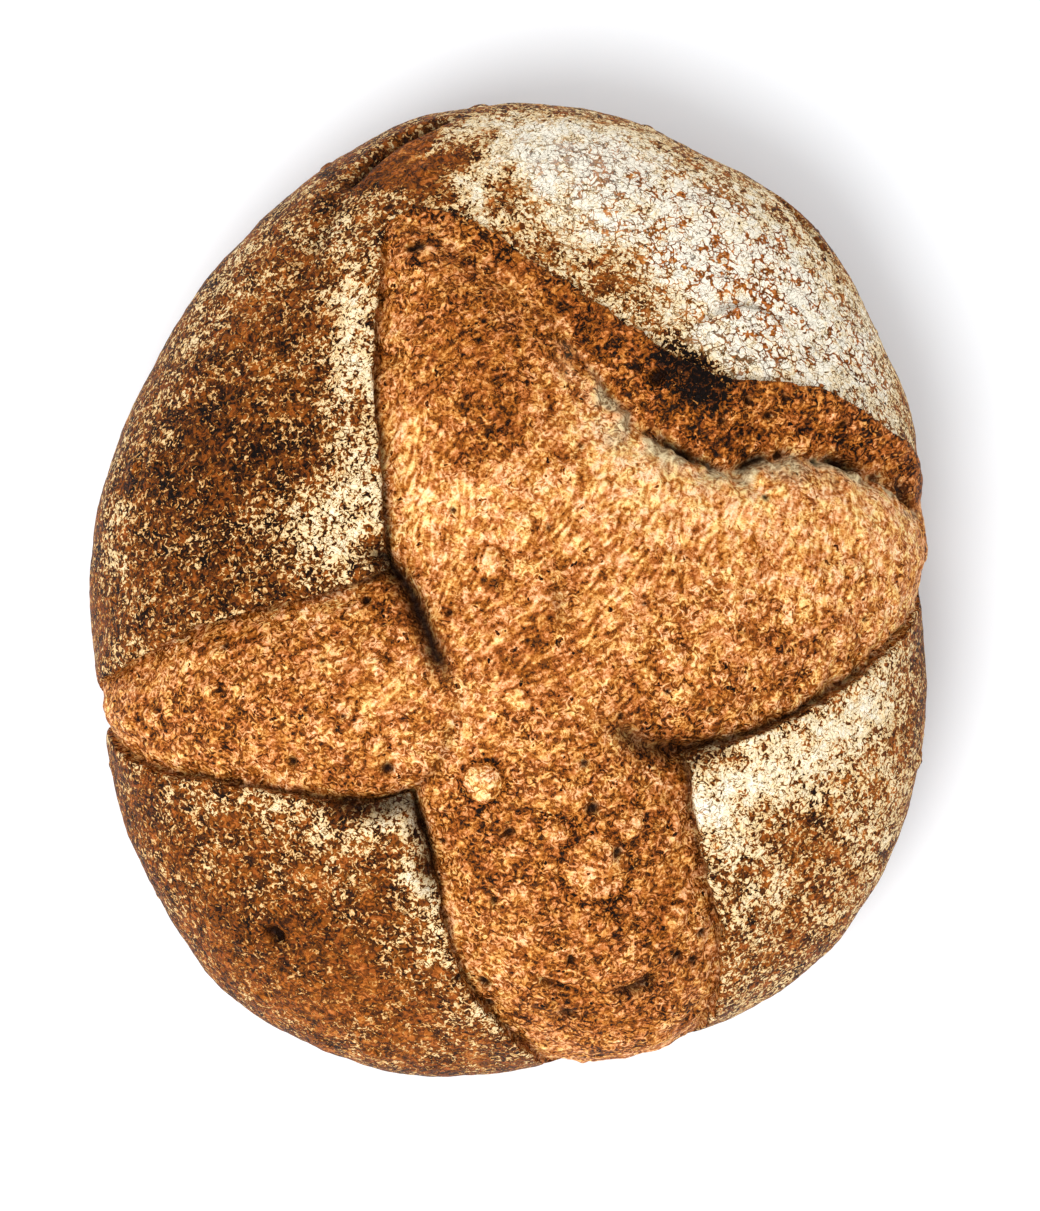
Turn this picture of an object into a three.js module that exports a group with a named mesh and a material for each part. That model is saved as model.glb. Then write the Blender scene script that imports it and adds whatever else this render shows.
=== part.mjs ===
// A round country sourdough loaf, baked free-standing with two crossing slashes in its top.
//
// The loaf is one closed body. Its skin is a dome over the outline of the belly, tucked under to a
// flat base. The slashes opened in the oven, so four flaps of floured skin surround a cross of
// raised crumb. The cross is called the bloom here. Along the upper right flap the crust first
// opened as a slanting band and then tore again below it, so the bloom's soft pillow starts at
// that tear and not at the flap.
//
// Millimetres, +Z up, with the origin on the base at the centre of the loaf's box.

import * as THREE from 'three';

// ---------------------------------------------------------------------------------------------
// Driving dimensions
// ---------------------------------------------------------------------------------------------

const CROWN_HEIGHT = 88; // top of the plain dome, before the bloom rises from it
const BELLY_HEIGHT = 34; // height of the widest outline
const BASE_RATIO = 0.8; // outline of the flat base over the outline of the belly
const DOME_FULLNESS = 2.4; // exponent of the dome's section: 2 is an ellipse, more is squarer

const LIP_RISE = 2.2; // how far a flap's cut edge curls up
const LIP_REACH = 9; // width of that curl
const EAR_RISE = 4.5; // how far the upper right flap's edge stands up over its band
const PILLOW_RISE = 7; // rise of the bloom over the plain dome
const PILLOW_REACH = 13; // distance from a crease over which the bloom gains most of its rise
const CREASE_WIDTH = 7; // width over which one side of a crease turns into the other
const RIM_FADE = 26; // width of the strip above the belly in which the bloom's rise dies away
const RELIEF_END = 30; // how far below the belly the last relief reaches

const GRID_CELLS = 62; // cells along each side of the square grid that is wrapped over the dome
const PROFILE_STEPS = 400; // straight steps that the section's length is measured with
const EDGE_STEP = 3; // spacing of the points along an edge
const BEARING_STEPS = 720; // samples of the belly's outline

// The belly seen from above, anticlockwise from the +X side.
const BELLY_OUTLINE = [
  [108, 0], [109, 20], [103, 52], [80, 93], [44, 117], [0, 127], [-42, 114],
  [-74, 86], [-96, 51], [-108, 18], [-109, -4], [-105, -35], [-93, -78], [-66, -112],
  [-22, -127], [20, -122], [45, -118], [82, -96], [104, -60], [109, -30],
];

// The edges of the flaps seen from above, in order anticlockwise around the bloom. Each point is
// x, y and the depth of the crease there. A place outside the belly's outline is as far below the
// belly as it is outside.
const UPPER_LEFT_SIDE = [[-30, 98, 1], [-33, 75, 2.5], [-33, 40, 3], [-31, 5, 4]];
const UPPER_LEFT_FOOT = [[-31, 5, 4], [-48, -1, 3], [-75, -8, 2.5], [-103, -22, 2]];
const LEFT_TIP = [[-112, -28, 1], [-118, -35, 1], [-113, -40, 1]];
const LOWER_LEFT_TOP = [[-105, -38, 2], [-92, -46, 2.5], [-59, -52, 3.5], [-25, -53, 4.5]];
const LOWER_LEFT_SIDE = [[-25, -53, 4.5], [-19, -73, 3.5], [-13, -96, 3], [10, -125, 2]];
const BOTTOM_TIP = [[22, -135, 1], [34, -138, 1], [46, -132, 1]];
const LOWER_RIGHT_SIDE = [[50, -118, 2], [55, -94, 3], [50, -66, 3.5], [46, -42, 4.5]];
const LOWER_RIGHT_TOP = [[46, -42, 4.5], [74, -33, 4.5], [96, -18, 3.5], [108, -3, 2.5]];
const RIGHT_TIP = [[116, 4, 1], [121, 14, 1], [117, 24, 1]];
const UPPER_RIGHT_EDGE = [
  [109, 27, 1], [93, 42, 1], [64, 52, 1], [46, 56, 1], [21, 73, 1], [-9, 90, 1], [-30, 98, 1],
];
const TEAR = [
  [107, 20, 2.5], [98, 28, 3.5], [66, 34, 4], [52, 31, 4], [36, 40, 3.5], [25, 51, 2.5],
  [13, 65, 0.5], [-12, 86, -1], [-30, 98, 1],
];

// ---------------------------------------------------------------------------------------------
// The plain dome
// ---------------------------------------------------------------------------------------------

const clamp01 = (value) => Math.min(1, Math.max(0, value));
const smooth = (value) => clamp01(value) ** 2 * (3 - 2 * clamp01(value));
const mix = (start, end, share) => start + (end - start) * share;

/** The belly's radius at a bearing, from a smooth closed curve through its outline. */
function makeBelly(outline) {
  const corners = outline.map(([x, y]) => new THREE.Vector3(x, y, 0));
  const curve = new THREE.CatmullRomCurve3(corners, true, 'centripetal');
  const samples = curve.getPoints(BEARING_STEPS).slice(1)
    .map((point) => ({ bearing: Math.atan2(point.y, point.x), radius: Math.hypot(point.x, point.y) }))
    .sort((one, other) => one.bearing - other.bearing);
  const mean = samples.reduce((sum, sample) => sum + sample.radius, 0) / samples.length;

  function radiusAt(bearing) {
    let after = samples.findIndex((sample) => sample.bearing >= bearing);
    if (after < 0) after = 0;
    const before = (after + samples.length - 1) % samples.length;
    const gap = samples[after].bearing - samples[before].bearing;
    if (gap <= 0) return samples[after].radius;
    return mix(samples[before].radius, samples[after].radius, (bearing - samples[before].bearing) / gap);
  }
  return { mean, radiusAt };
}

/**
 * The dome's section, from the crown over the belly to the edge of the base, as points spaced
 * along its length. Above the belly it is a superellipse, and below it a quarter of an ellipse.
 */
function makeSection(radius) {
  const points = [];
  for (let step = 0; step <= PROFILE_STEPS; step += 1) {
    const angle = (Math.PI / 2) * (step / PROFILE_STEPS);
    const reach = Math.sin(angle) ** (2 / DOME_FULLNESS);
    points.push({ reach, z: mix(BELLY_HEIGHT, CROWN_HEIGHT, Math.cos(angle)) });
  }
  const bellyStep = points.length - 1;
  for (let step = 1; step <= PROFILE_STEPS; step += 1) {
    const angle = (Math.PI / 2) * (step / PROFILE_STEPS);
    points.push({ reach: mix(BASE_RATIO, 1, Math.cos(angle)), z: BELLY_HEIGHT * (1 - Math.sin(angle)) });
  }
  points[0].length = 0;
  for (let step = 1; step < points.length; step += 1) {
    const here = points[step];
    const last = points[step - 1];
    here.length = last.length + Math.hypot((here.reach - last.reach) * radius, here.z - last.z);
  }
  return { points, bellyLength: points[bellyStep].length, fullLength: points.at(-1).length };
}

/** The value of one field of the section where another field has the given value. */
function lookUp(points, known, value, wanted) {
  let low = 0;
  let high = points.length - 1;
  while (high - low > 1) {
    const middle = (low + high) >> 1;
    if (points[middle][known] < value) low = middle;
    else high = middle;
  }
  const gap = points[high][known] - points[low][known];
  const share = gap > 0 ? clamp01((value - points[low][known]) / gap) : 0;
  return mix(points[low][wanted], points[high][wanted], share);
}

const belly = makeBelly(BELLY_OUTLINE);
const section = makeSection(belly.mean);
const crownPoints = section.points.slice(0, PROFILE_STEPS + 1);

/** Where a place on the skin lies when the skin is unrolled flat around the crown. */
function unroll(bearing, length) {
  const stretch = belly.radiusAt(bearing) / belly.mean;
  return new THREE.Vector2(Math.cos(bearing), Math.sin(bearing)).multiplyScalar(length * stretch);
}

/** The unrolled place of a point that is given as seen from above. */
function unrollPlan(x, y) {
  const bearing = Math.atan2(y, x);
  const reach = Math.hypot(x, y) / belly.radiusAt(bearing);
  const length = reach <= 1
    ? lookUp(crownPoints, 'reach', reach, 'length')
    : section.bellyLength + (reach - 1) * belly.mean;
  return unroll(bearing, length);
}

// ---------------------------------------------------------------------------------------------
// The bloom
// ---------------------------------------------------------------------------------------------

/** A closed outline on the unrolled skin, from edges that follow each other. */
function makeOutline(edges) {
  return edges.flatMap((edge) => {
    const curve = new THREE.CatmullRomCurve3(
      edge.map(([x, y, depth]) => new THREE.Vector3(x, y, depth)), false, 'centripetal');
    const steps = Math.ceil(curve.getLength() / EDGE_STEP);
    return curve.getSpacedPoints(steps).map((point) => ({
      place: unrollPlan(point.x, point.y),
      depth: point.z,
    }));
  });
}

/** How far a place is from an outline, the crease's depth at the nearest point, and its side. */
function measure(outline, place) {
  let distance = Infinity;
  let depth = 0;
  let inside = false;
  outline.forEach((end, index) => {
    const start = outline.at(index - 1);
    const along = end.place.clone().sub(start.place);
    const offset = place.clone().sub(start.place);
    const share = along.lengthSq() > 0 ? clamp01(offset.dot(along) / along.lengthSq()) : 0;
    const gap = offset.addScaledVector(along, -share).length();
    if (gap < distance) {
      distance = gap;
      depth = mix(start.depth, end.depth, share);
    }
    if ((start.place.y > place.y) !== (end.place.y > place.y)) {
      const crossing = (place.y - start.place.y) / (end.place.y - start.place.y);
      if (place.x < mix(start.place.x, end.place.x, crossing)) inside = !inside;
    }
  });
  return { distance, depth, inside };
}

const flapEdges = [
  UPPER_LEFT_SIDE, UPPER_LEFT_FOOT, LEFT_TIP, LOWER_LEFT_TOP, LOWER_LEFT_SIDE, BOTTOM_TIP,
  LOWER_RIGHT_SIDE, LOWER_RIGHT_TOP, RIGHT_TIP,
];
const bloomOutline = makeOutline([...flapEdges, UPPER_RIGHT_EDGE]);
const pillowOutline = makeOutline([...flapEdges, TEAR]);

/** A distance from an outline that is negative inside it. */
const signed = (measured) => (measured.inside ? -measured.distance : measured.distance);

/** 0 well inside an outline and 1 well outside it, turning smoothly across the crease. */
const outsideShare = (measured) => smooth(0.5 + signed(measured) / CREASE_WIDTH);

/** How far the skin stands out from the plain dome at an unrolled place. */
function reliefAt(place, length) {
  const bloom = measure(bloomOutline, place);
  const pillow = measure(pillowOutline, place);
  const nearRim = smooth((section.bellyLength - length) / RIM_FADE);
  const strength = 1 - smooth((length - section.bellyLength) / RELIEF_END);

  const flap = nearRim * LIP_RISE * Math.exp(-((bloom.distance / LIP_REACH) ** 2));
  const acrossBand = bloom.distance / (bloom.distance + pillow.distance + 1e-6);
  const band = mix(EAR_RISE * nearRim, -pillow.depth, smooth(acrossBand));
  const risen = 1 - Math.exp(-pillow.distance / PILLOW_REACH);
  const raised = mix(-pillow.depth, PILLOW_RISE * nearRim, risen);

  const opened = mix(raised, band, outsideShare(pillow));
  return strength * mix(opened, flap, outsideShare(bloom));
}

// ---------------------------------------------------------------------------------------------
// The mesh
// ---------------------------------------------------------------------------------------------

/** The bearing and the distance from the middle, 0 to 1, of a place in a square from -1 to 1. */
function squareToDisc(across, up) {
  if (across === 0 && up === 0) return { bearing: 0, reach: 0 };
  const wide = Math.abs(across) > Math.abs(up);
  const reach = wide ? across : up;
  const bearing = wide ? (Math.PI / 4) * (up / across) : Math.PI / 2 - (Math.PI / 4) * (across / up);
  const turned = reach < 0 ? bearing + Math.PI : bearing;
  return { bearing: Math.atan2(Math.sin(turned), Math.cos(turned)), reach: Math.abs(reach) };
}

/** The wrapped grid's vertices, first on the plain dome and with their relief alongside. */
function makeGrid() {
  const positions = [];
  const reliefs = [];
  for (let row = 0; row <= GRID_CELLS; row += 1) {
    for (let column = 0; column <= GRID_CELLS; column += 1) {
      const disc = squareToDisc(2 * column / GRID_CELLS - 1, 2 * row / GRID_CELLS - 1);
      const length = disc.reach * section.fullLength;
      const radius = belly.radiusAt(disc.bearing) * lookUp(section.points, 'length', length, 'reach');
      const height = lookUp(section.points, 'length', length, 'z');
      positions.push(Math.cos(disc.bearing) * radius, Math.sin(disc.bearing) * radius, height);
      reliefs.push(reliefAt(unroll(disc.bearing, length), length));
    }
  }
  return { positions, reliefs };
}

/** Two triangles for each cell, cut along the diagonal that points away from the crown. */
function gridTriangles() {
  const at = (column, row) => row * (GRID_CELLS + 1) + column;
  const half = GRID_CELLS / 2;
  const triangles = [];
  for (let row = 0; row < GRID_CELLS; row += 1) {
    for (let column = 0; column < GRID_CELLS; column += 1) {
      const near = at(column, row);
      const right = at(column + 1, row);
      const far = at(column + 1, row + 1);
      const left = at(column, row + 1);
      if ((column < half) === (row < half)) triangles.push(near, right, far, near, far, left);
      else triangles.push(near, right, left, right, far, left);
    }
  }
  return triangles;
}

/** The grid's border, anticlockwise from above, which is the edge of the flat base. */
function baseRing() {
  const last = GRID_CELLS;
  const at = (column, row) => row * (last + 1) + column;
  const ring = [];
  for (let step = 0; step < last; step += 1) ring.push(at(step, 0));
  for (let step = 0; step < last; step += 1) ring.push(at(last, step));
  for (let step = 0; step < last; step += 1) ring.push(at(last - step, last));
  for (let step = 0; step < last; step += 1) ring.push(at(0, last - step));
  return ring;
}

/** Moves each vertex out along the plain dome's normal by its relief. */
function raiseRelief(geometry, reliefs) {
  geometry.computeVertexNormals();
  const position = geometry.attributes.position;
  const normal = geometry.attributes.normal;
  const point = new THREE.Vector3();
  const outward = new THREE.Vector3();
  reliefs.forEach((relief, index) => {
    point.fromBufferAttribute(position, index);
    outward.fromBufferAttribute(normal, index);
    point.addScaledVector(outward, relief);
    position.setXYZ(index, point.x, point.y, point.z);
  });
}

/** The whole loaf, closed by a flat fan over its base. */
function makeLoafGeometry() {
  const { positions, reliefs } = makeGrid();
  const triangles = gridTriangles();
  const ring = baseRing();
  const baseCentre = positions.length / 3;
  positions.push(0, 0, 0);
  reliefs.push(0);
  ring.forEach((vertex, index) => {
    triangles.push(baseCentre, ring[(index + 1) % ring.length], vertex);
  });
  for (const vertex of ring) {
    positions[3 * vertex + 2] = 0;
    reliefs[vertex] = 0;
  }

  const geometry = new THREE.BufferGeometry();
  geometry.setAttribute('position', new THREE.Float32BufferAttribute(positions, 3));
  geometry.setIndex(triangles);
  raiseRelief(geometry, reliefs);

  geometry.computeBoundingBox();
  const centre = geometry.boundingBox.getCenter(new THREE.Vector3());
  geometry.translate(-centre.x, -centre.y, 0);
  geometry.computeVertexNormals();
  return geometry;
}

const crust = new THREE.MeshStandardMaterial({ name: 'crust', color: 0xb87a42, roughness: 0.75, metalness: 0 });
const loaf = new THREE.Mesh(makeLoafGeometry(), crust);
loaf.name = 'loaf';

const sourdoughLoaf = new THREE.Group();
sourdoughLoaf.name = 'sourdough_loaf';
sourdoughLoaf.add(loaf);

export default sourdoughLoaf;
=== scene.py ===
"""A country sourdough loaf: floured flaps of crust opened around a raised cross of crumb.

The loaf is one baked piece. Its skin is worked out on a flat map, which is the skin unrolled
around the crown, and then laid over a dome that stands in the frame's own box.
"""
import logging
import math
from dataclasses import dataclass, field
from enum import Enum, IntEnum
from functools import cached_property
from typing import Any, Sequence

import bpy
import numpy as np
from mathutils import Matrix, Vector


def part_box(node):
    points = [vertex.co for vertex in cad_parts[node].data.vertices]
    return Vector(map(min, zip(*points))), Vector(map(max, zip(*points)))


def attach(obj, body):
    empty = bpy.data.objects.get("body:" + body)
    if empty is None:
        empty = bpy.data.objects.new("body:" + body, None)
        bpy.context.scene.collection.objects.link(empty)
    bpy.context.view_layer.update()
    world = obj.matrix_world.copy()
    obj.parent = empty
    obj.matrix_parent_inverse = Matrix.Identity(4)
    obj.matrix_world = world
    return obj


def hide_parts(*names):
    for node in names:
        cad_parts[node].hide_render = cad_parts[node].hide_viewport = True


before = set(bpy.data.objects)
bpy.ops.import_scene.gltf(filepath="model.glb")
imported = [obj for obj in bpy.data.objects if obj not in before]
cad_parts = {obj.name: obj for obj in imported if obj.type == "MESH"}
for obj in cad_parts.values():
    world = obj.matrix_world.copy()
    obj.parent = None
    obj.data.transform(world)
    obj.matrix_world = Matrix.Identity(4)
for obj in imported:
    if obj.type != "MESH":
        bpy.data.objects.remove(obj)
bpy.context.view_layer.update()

LOG = logging.getLogger("loaf")
MM = 0.001
TINY = 1e-6

Array = np.ndarray
Tree = bpy.types.NodeTree
Socket = bpy.types.NodeSocket
Point = tuple[float, float]
Edge = tuple[tuple[float, float, float], ...]


# ---------------------------------------------------------------------------------------------
# Small sums
# ---------------------------------------------------------------------------------------------

def smooth(value: Array | float) -> Array | float:
    """0 below 0, 1 above 1, and an S-shaped step between."""
    held = np.clip(value, 0.0, 1.0)
    return held * held * (3.0 - 2.0 * held)


def mix(start: Array | float, end: Array | float, share: Array | float) -> Array | float:
    """The value that lies at a share of the way from start to end."""
    return start + (end - start) * share


def linear(colour: str) -> tuple[float, float, float, float]:
    """Turns an sRGB hex colour into the linear colour that shaders use.

    Args:
        colour: six hex digits after a #.

    Returns:
        Red, green, blue and an alpha of 1.
    """
    parts = [int(colour[start:start + 2], 16) / 255.0 for start in (1, 3, 5)]
    lit = [part / 12.92 if part <= 0.04045 else ((part + 0.055) / 1.055) ** 2.4 for part in parts]
    return lit[0], lit[1], lit[2], 1.0


def smooth_path(corners: Sequence[Sequence[float]], closed: bool = False, spacing: float = 1.5) -> Array:
    """Points along a smooth curve through the corners.

    Each stretch is a centripetal Catmull-Rom curve: straight lines between its four neighbouring
    corners are blended in three rounds, with knots spaced by the root of the corners' distances.

    Args:
        corners: x, y and any further values of each corner.
        closed: whether the curve returns to its first corner.
        spacing: the distance between points.

    Returns:
        One row for each point, with as many values as a corner has.
    """
    known = np.asarray(corners, float)
    if closed:
        padded = np.vstack((known[-1:], known, known[:2]))
    else:
        padded = np.vstack((2 * known[:1] - known[1:2], known, 2 * known[-1:] - known[-2:-1]))
    rows = []
    for first, start, end, last in zip(padded, padded[1:], padded[2:], padded[3:]):
        sides = (first, start), (start, end), (end, last)
        knots = np.cumsum([0.0, *(np.linalg.norm(b[:2] - a[:2]) ** 0.5 for a, b in sides)])
        count = max(2, math.ceil(np.linalg.norm(end[:2] - start[:2]) / spacing))
        time = np.linspace(knots[1], knots[2], count, endpoint=False)[:, None]
        once = [mix(a, b, (time - knots[i]) / (knots[i + 1] - knots[i]))
                for i, (a, b) in enumerate(sides)]
        twice = [mix(once[i], once[i + 1], (time - knots[i]) / (knots[i + 2] - knots[i])) for i in (0, 1)]
        rows.append(mix(twice[0], twice[1], (time - knots[1]) / (knots[2] - knots[1])))
    if not closed:
        rows.append(known[-1:])
    return np.vstack(rows)


class Seed(IntEnum):
    """Seeds of the noise and of the strewn spots, one for each use."""

    CUT_ACROSS = 3
    CUT_UP = 5
    TEAR_ACROSS = 7
    TEAR_UP = 9
    PAINT_ACROSS = 21
    PAINT_UP = 23
    FLOW_ACROSS = 31
    FLOW_UP = 33
    FLOW_TURN = 35
    DRAWN = 37
    STRANDS = 41
    SWELLS = 51
    LUMPS = 53
    BUMPS = 55
    GRIT = 57
    RAGGED = 59
    TORN = 61
    BAKE = 63
    FLOUR = 65
    HOLES = 67
    SPOTS = 71
    BASE_DENTS = 81
    BASE_BAKE = 83
    BASE_FLOUR = 85


@dataclass(frozen=True)
class Noise:
    """Smooth noise over the unrolled skin, the same for the same seed.

    The lattice repeats after a power of two of its squares. Each further layer has its own seed.
    """

    seed: int
    lattice: int = 256
    gain: float = 1.5
    seed_step: int = 17

    def wave(self, x: Array, y: Array, size: float) -> Array:
        """One wave of gradient noise.

        Each corner of a square lattice has a random slope. A point's value blends what the slopes
        of its four corners give there, with weights that ease in and out.

        Args:
            x: places along the map, mm.
            y: places up the map, mm.
            size: width of a lattice square, mm.

        Returns:
            Values that mostly lie between -1 and 1.
        """
        angles = np.random.default_rng(self.seed).uniform(0, 2 * np.pi, (self.lattice, self.lattice))
        angles = angles.astype(np.float32)
        slopes = np.cos(angles), np.sin(angles)
        across, up = (x / size).astype(np.float32), (y / size).astype(np.float32)
        column, row = np.floor(across).astype(np.int32), np.floor(up).astype(np.int32)
        right, high = across - column, up - row
        ease_right = right ** 3 * (right * (right * 6 - 15) + 10)
        ease_high = high ** 3 * (high * (high * 6 - 15) + 10)

        def corner(step_right: int, step_high: int) -> Array:
            """What the slope of one corner gives at each place."""
            at = (row + step_high) & (self.lattice - 1), (column + step_right) & (self.lattice - 1)
            return slopes[0][at] * (right - step_right) + slopes[1][at] * (high - step_high)

        low = mix(corner(0, 0), corner(1, 0), ease_right)
        top = mix(corner(0, 1), corner(1, 1), ease_right)
        return self.gain * mix(low, top, ease_high)

    def layered(self, x: Array, y: Array, size: float, layers: int = 3) -> Array:
        """Waves of halving width and strength, added up.

        Args:
            x: places along the map, mm.
            y: places up the map, mm.
            size: width of the widest wave's lattice squares, mm.
            layers: how many waves are added.

        Returns:
            The sum, mostly between -2 and 2.
        """
        total = np.zeros_like(x, dtype=np.float32)
        for layer in range(layers):
            wave = Noise(self.seed + self.seed_step * layer).wave(x, y, size * 0.5 ** layer)
            total += 0.5 ** layer * wave
        return total


# ---------------------------------------------------------------------------------------------
# Listed features, in millimetres as seen from above
# ---------------------------------------------------------------------------------------------

class Tip(Enum):
    """Where the three wide arms of the bloom end, below the belly."""

    LEFT = ((-112, -28, 1), (-118, -35, 1), (-113, -40, 1))
    BOTTOM = ((22, -135, 1), (34, -138, 1), (46, -132, 1))
    RIGHT = ((116, 4, 1), (121, 14, 1), (117, 24, 1))


class FlapEdge(Enum):
    """The cut edges of the flaps, anticlockwise around the bloom: x, y and depth of the crease."""

    UPPER_LEFT_SIDE = ((-31, 93, 0), (-33, 75, 2), (-34, 52, 3), (-32, 27, 3.5), (-31, 5, 4.5))
    UPPER_LEFT_FOOT = ((-31, 5, 4.5), (-48, -1, 3.5), (-75, -8, 3), (-103, -22, 2))
    LOWER_LEFT_TOP = ((-105, -38, 2), (-92, -46, 2.5), (-59, -52, 3.5), (-37, -55, 4), (-25, -53, 5))
    LOWER_LEFT_SIDE = ((-25, -53, 5), (-19, -73, 4), (-15, -91, 3), (-8, -105, 3), (10, -125, 2))
    LOWER_RIGHT_SIDE = ((50, -118, 2), (54, -106, 2.5), (55, -90, 3), (48, -58, 3.5), (46, -42, 4.5))
    LOWER_RIGHT_TOP = ((46, -42, 4.5), (64, -37, 5), (84, -27, 4.5), (99, -15, 3), (108, -3, 1.2))
    UPPER_RIGHT = ((109, 27, 1), (105, 33, 1), (93, 42, 1), (78, 50, 1), (60, 52, 1), (46, 56, 1),
                   (27, 69, 0.5), (6, 83, 0), (-7, 92, 0), (-19, 96, 0), (-31, 93, 0))
    TEAR = ((107, 20, 1.2), (98, 28, 4), (82, 33, 4.5), (66, 34, 5), (59, 30, 4.5), (52, 31, 4.5),
            (36, 40, 4), (25, 51, 2.5), (13, 65, 0), (-12, 86, -1), (-31, 93, 0))


@dataclass(frozen=True)
class Fold:
    """A crease, slit or ridge along a path: depth at each point, width, and the strength of the painted
    shade in it.
    """

    points: Edge
    width: float
    shade_strength: float


@dataclass(frozen=True)
class Patch:
    """A soft oval patch: its middle, half length and half width, turn in degrees, and amount."""

    x: float
    y: float
    long: float
    wide: float
    turn: float
    amount: float


@dataclass(frozen=True)
class Spot:
    """A round feature: its middle, radius, and rise of its middle, which is negative in a pit."""

    x: float
    y: float
    radius: float
    rise: float


# Creases, slits and ridges, with the painted shade that darkens each.
FOLDS: tuple[Fold, ...] = (
    Fold(((-32, 8, 4), (-24, -2, 5), (-19, -13, 3.5), (-14, -23, 0.5)), 2.3, 1.0),
    Fold(((-11, -26, 0.5), (-14, -35, 1.2), (-18, -45, 1.5), (-25, -53, 2.5)), 1.1, 0.45),
    Fold(((-45, -54, 1), (-34, -56, 4), (-25, -55, 5), (-21, -66, 3), (-19, -77, 0.8)), 2.2, 0.9),
    Fold(((52, -40, 2), (44, -41, 4), (36, -40, 3.5), (29, -36, 2), (25, -33, 0.5)), 2.8, 0.8),
    Fold(((-42, 103, 0.5), (-36, 109, 5), (-29, 115, 6), (-22, 118, 5), (-14, 121, 0.5)), 2.1, 1.0),
    Fold(((-40, 105, 1), (-46, 94, 1.4), (-51, 84, 1.2), (-53, 77, 0.3)), 3.2, 0.3),
    Fold(((47, 66, 0.4), (54, 71, 1.4), (64, 72, 1.4), (73, 66, 0.4)), 0.9, 0.5),
    Fold(((12, 3, 0.3), (13, -3, 1.4), (13, -10, 0.4)), 1.6, 0.55),
    Fold(((68, 103, 0.5), (77, 94, 2.2), (84, 84, 0.5)), 1.5, 0.6),
    Fold(((7, -96, 0.5), (10, -97, 2.2), (13, -98, 0.5)), 1.1, 0.8),
    Fold(((26, -99, 0.5), (31, -99, 2.8), (36, -97, 1.5)), 1.4, 0.9),
    Fold(((12, -106, 0.5), (15, -105, 2.4), (18, -105, 0.5)), 1.2, 1.0),
    Fold(((37, 40, 0.5), (44, 35, 2.5), (52, 31, 0.5)), 1.1, 1.0),
    Fold(((59, 31, 0.5), (64, 33, 3.0), (69, 34, 0.5)), 1.3, 1.0),
    Fold(((82, 34, 0.5), (89, 32, 3.5), (96, 28, 0.5)), 1.4, 1.0),
    Fold(((101, 28, 0.5), (105, 23, 3.0), (107, 17, 0.5)), 1.4, 0.9),
)

# The blisters and pores that are listed one by one.
SPOTS: tuple[Spot, ...] = (
    Spot(-6, -48, 4.6, 3.0), Spot(-4, 6, 3.6, 1.4), Spot(-32, -39, 2.8, 1.2), Spot(40, -17, 3.6, 1.1),
    Spot(22, -69, 7.5, 1.6), Spot(2, 14, 4.5, 1.0), Spot(30, -58, 4.0, 1.0), Spot(-40, -30, 3.0, 0.8),
    Spot(-72, -26, 2.6, 0.9), Spot(-88, -33, 3.0, 0.9), Spot(12, -60, 3.2, 1.0), Spot(42, -82, 3.4, 1.0),
    Spot(-59, -88, 2.6, -2.4), Spot(-24, 84, 1.2, -1.6), Spot(-13, -98, 1.0, -1.6),
    Spot(-22, 85, 1.6, -1.0), Spot(33, 55, 1.0, -1.2), Spot(-30, -45, 1.6, -1.4),
    Spot(-53, -43, 1.3, -1.3), Spot(0, -60, 1.4, -1.6), Spot(21, -54, 1.6, -1.5),
    Spot(27, -65, 1.4, -1.5), Spot(-6, -100, 1.6, -1.8), Spot(-4, -107, 1.3, -1.5),
    Spot(42, -92, 1.4, -1.6), Spot(47, -94, 1.5, -1.6), Spot(49, -87, 1.2, -1.4), Spot(37, 53, 2.0, -2.6),
    Spot(60, 47, 1.2, -1.6), Spot(66, 44, 1.2, -1.6), Spot(54, 42, 1.1, -1.4),
)

# Bearings of the strands, in degrees, around which the flow is averaged.
BEARINGS: tuple[Patch, ...] = (
    Patch(-12, 66, 26, 26, 0, 40), Patch(14, 46, 22, 22, 0, 46), Patch(-22, 38, 14, 22, 0, 80),
    Patch(-16, 16, 16, 20, 0, 68), Patch(8, 20, 16, 16, 0, 62), Patch(34, 26, 22, 20, 0, 62),
    Patch(64, 14, 22, 20, 0, 68), Patch(92, 8, 18, 24, 0, 84), Patch(50, -10, 22, 18, 0, 48),
    Patch(12, -10, 18, 18, 0, 32), Patch(-18, -20, 16, 14, 0, 55), Patch(-48, -22, 20, 18, 0, 30),
    Patch(-84, -28, 20, 16, 0, 60), Patch(6, -46, 18, 14, 0, 20), Patch(30, -52, 16, 16, 0, -10),
    Patch(8, -88, 22, 22, 0, -12), Patch(38, -92, 18, 24, 0, 18), Patch(24, -112, 22, 14, 0, 2),
)

# Where the dough was drawn into strands.
DRAWN_PLACES: tuple[Patch, ...] = (
    Patch(68, 18, 34, 18, -10, 0.42), Patch(24, 10, 22, 26, 0, 0.45),
    Patch(-18, 20, 12, 24, 20, 0.50), Patch(4, -18, 14, 14, 0, 0.40),
    Patch(-26, -22, 16, 10, 30, 0.35), Patch(-4, 52, 16, 18, 60, 0.30),
)

# Where torn crumb shows away from the lip of the tear.
TORN_PLACES: tuple[Patch, ...] = (
    Patch(30, 40, 7, 4.5, -45, 0.8), Patch(66, 29, 10, 3.5, 0, 0.6), Patch(99, 25, 7, 4, -40, 0.6),
)

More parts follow.
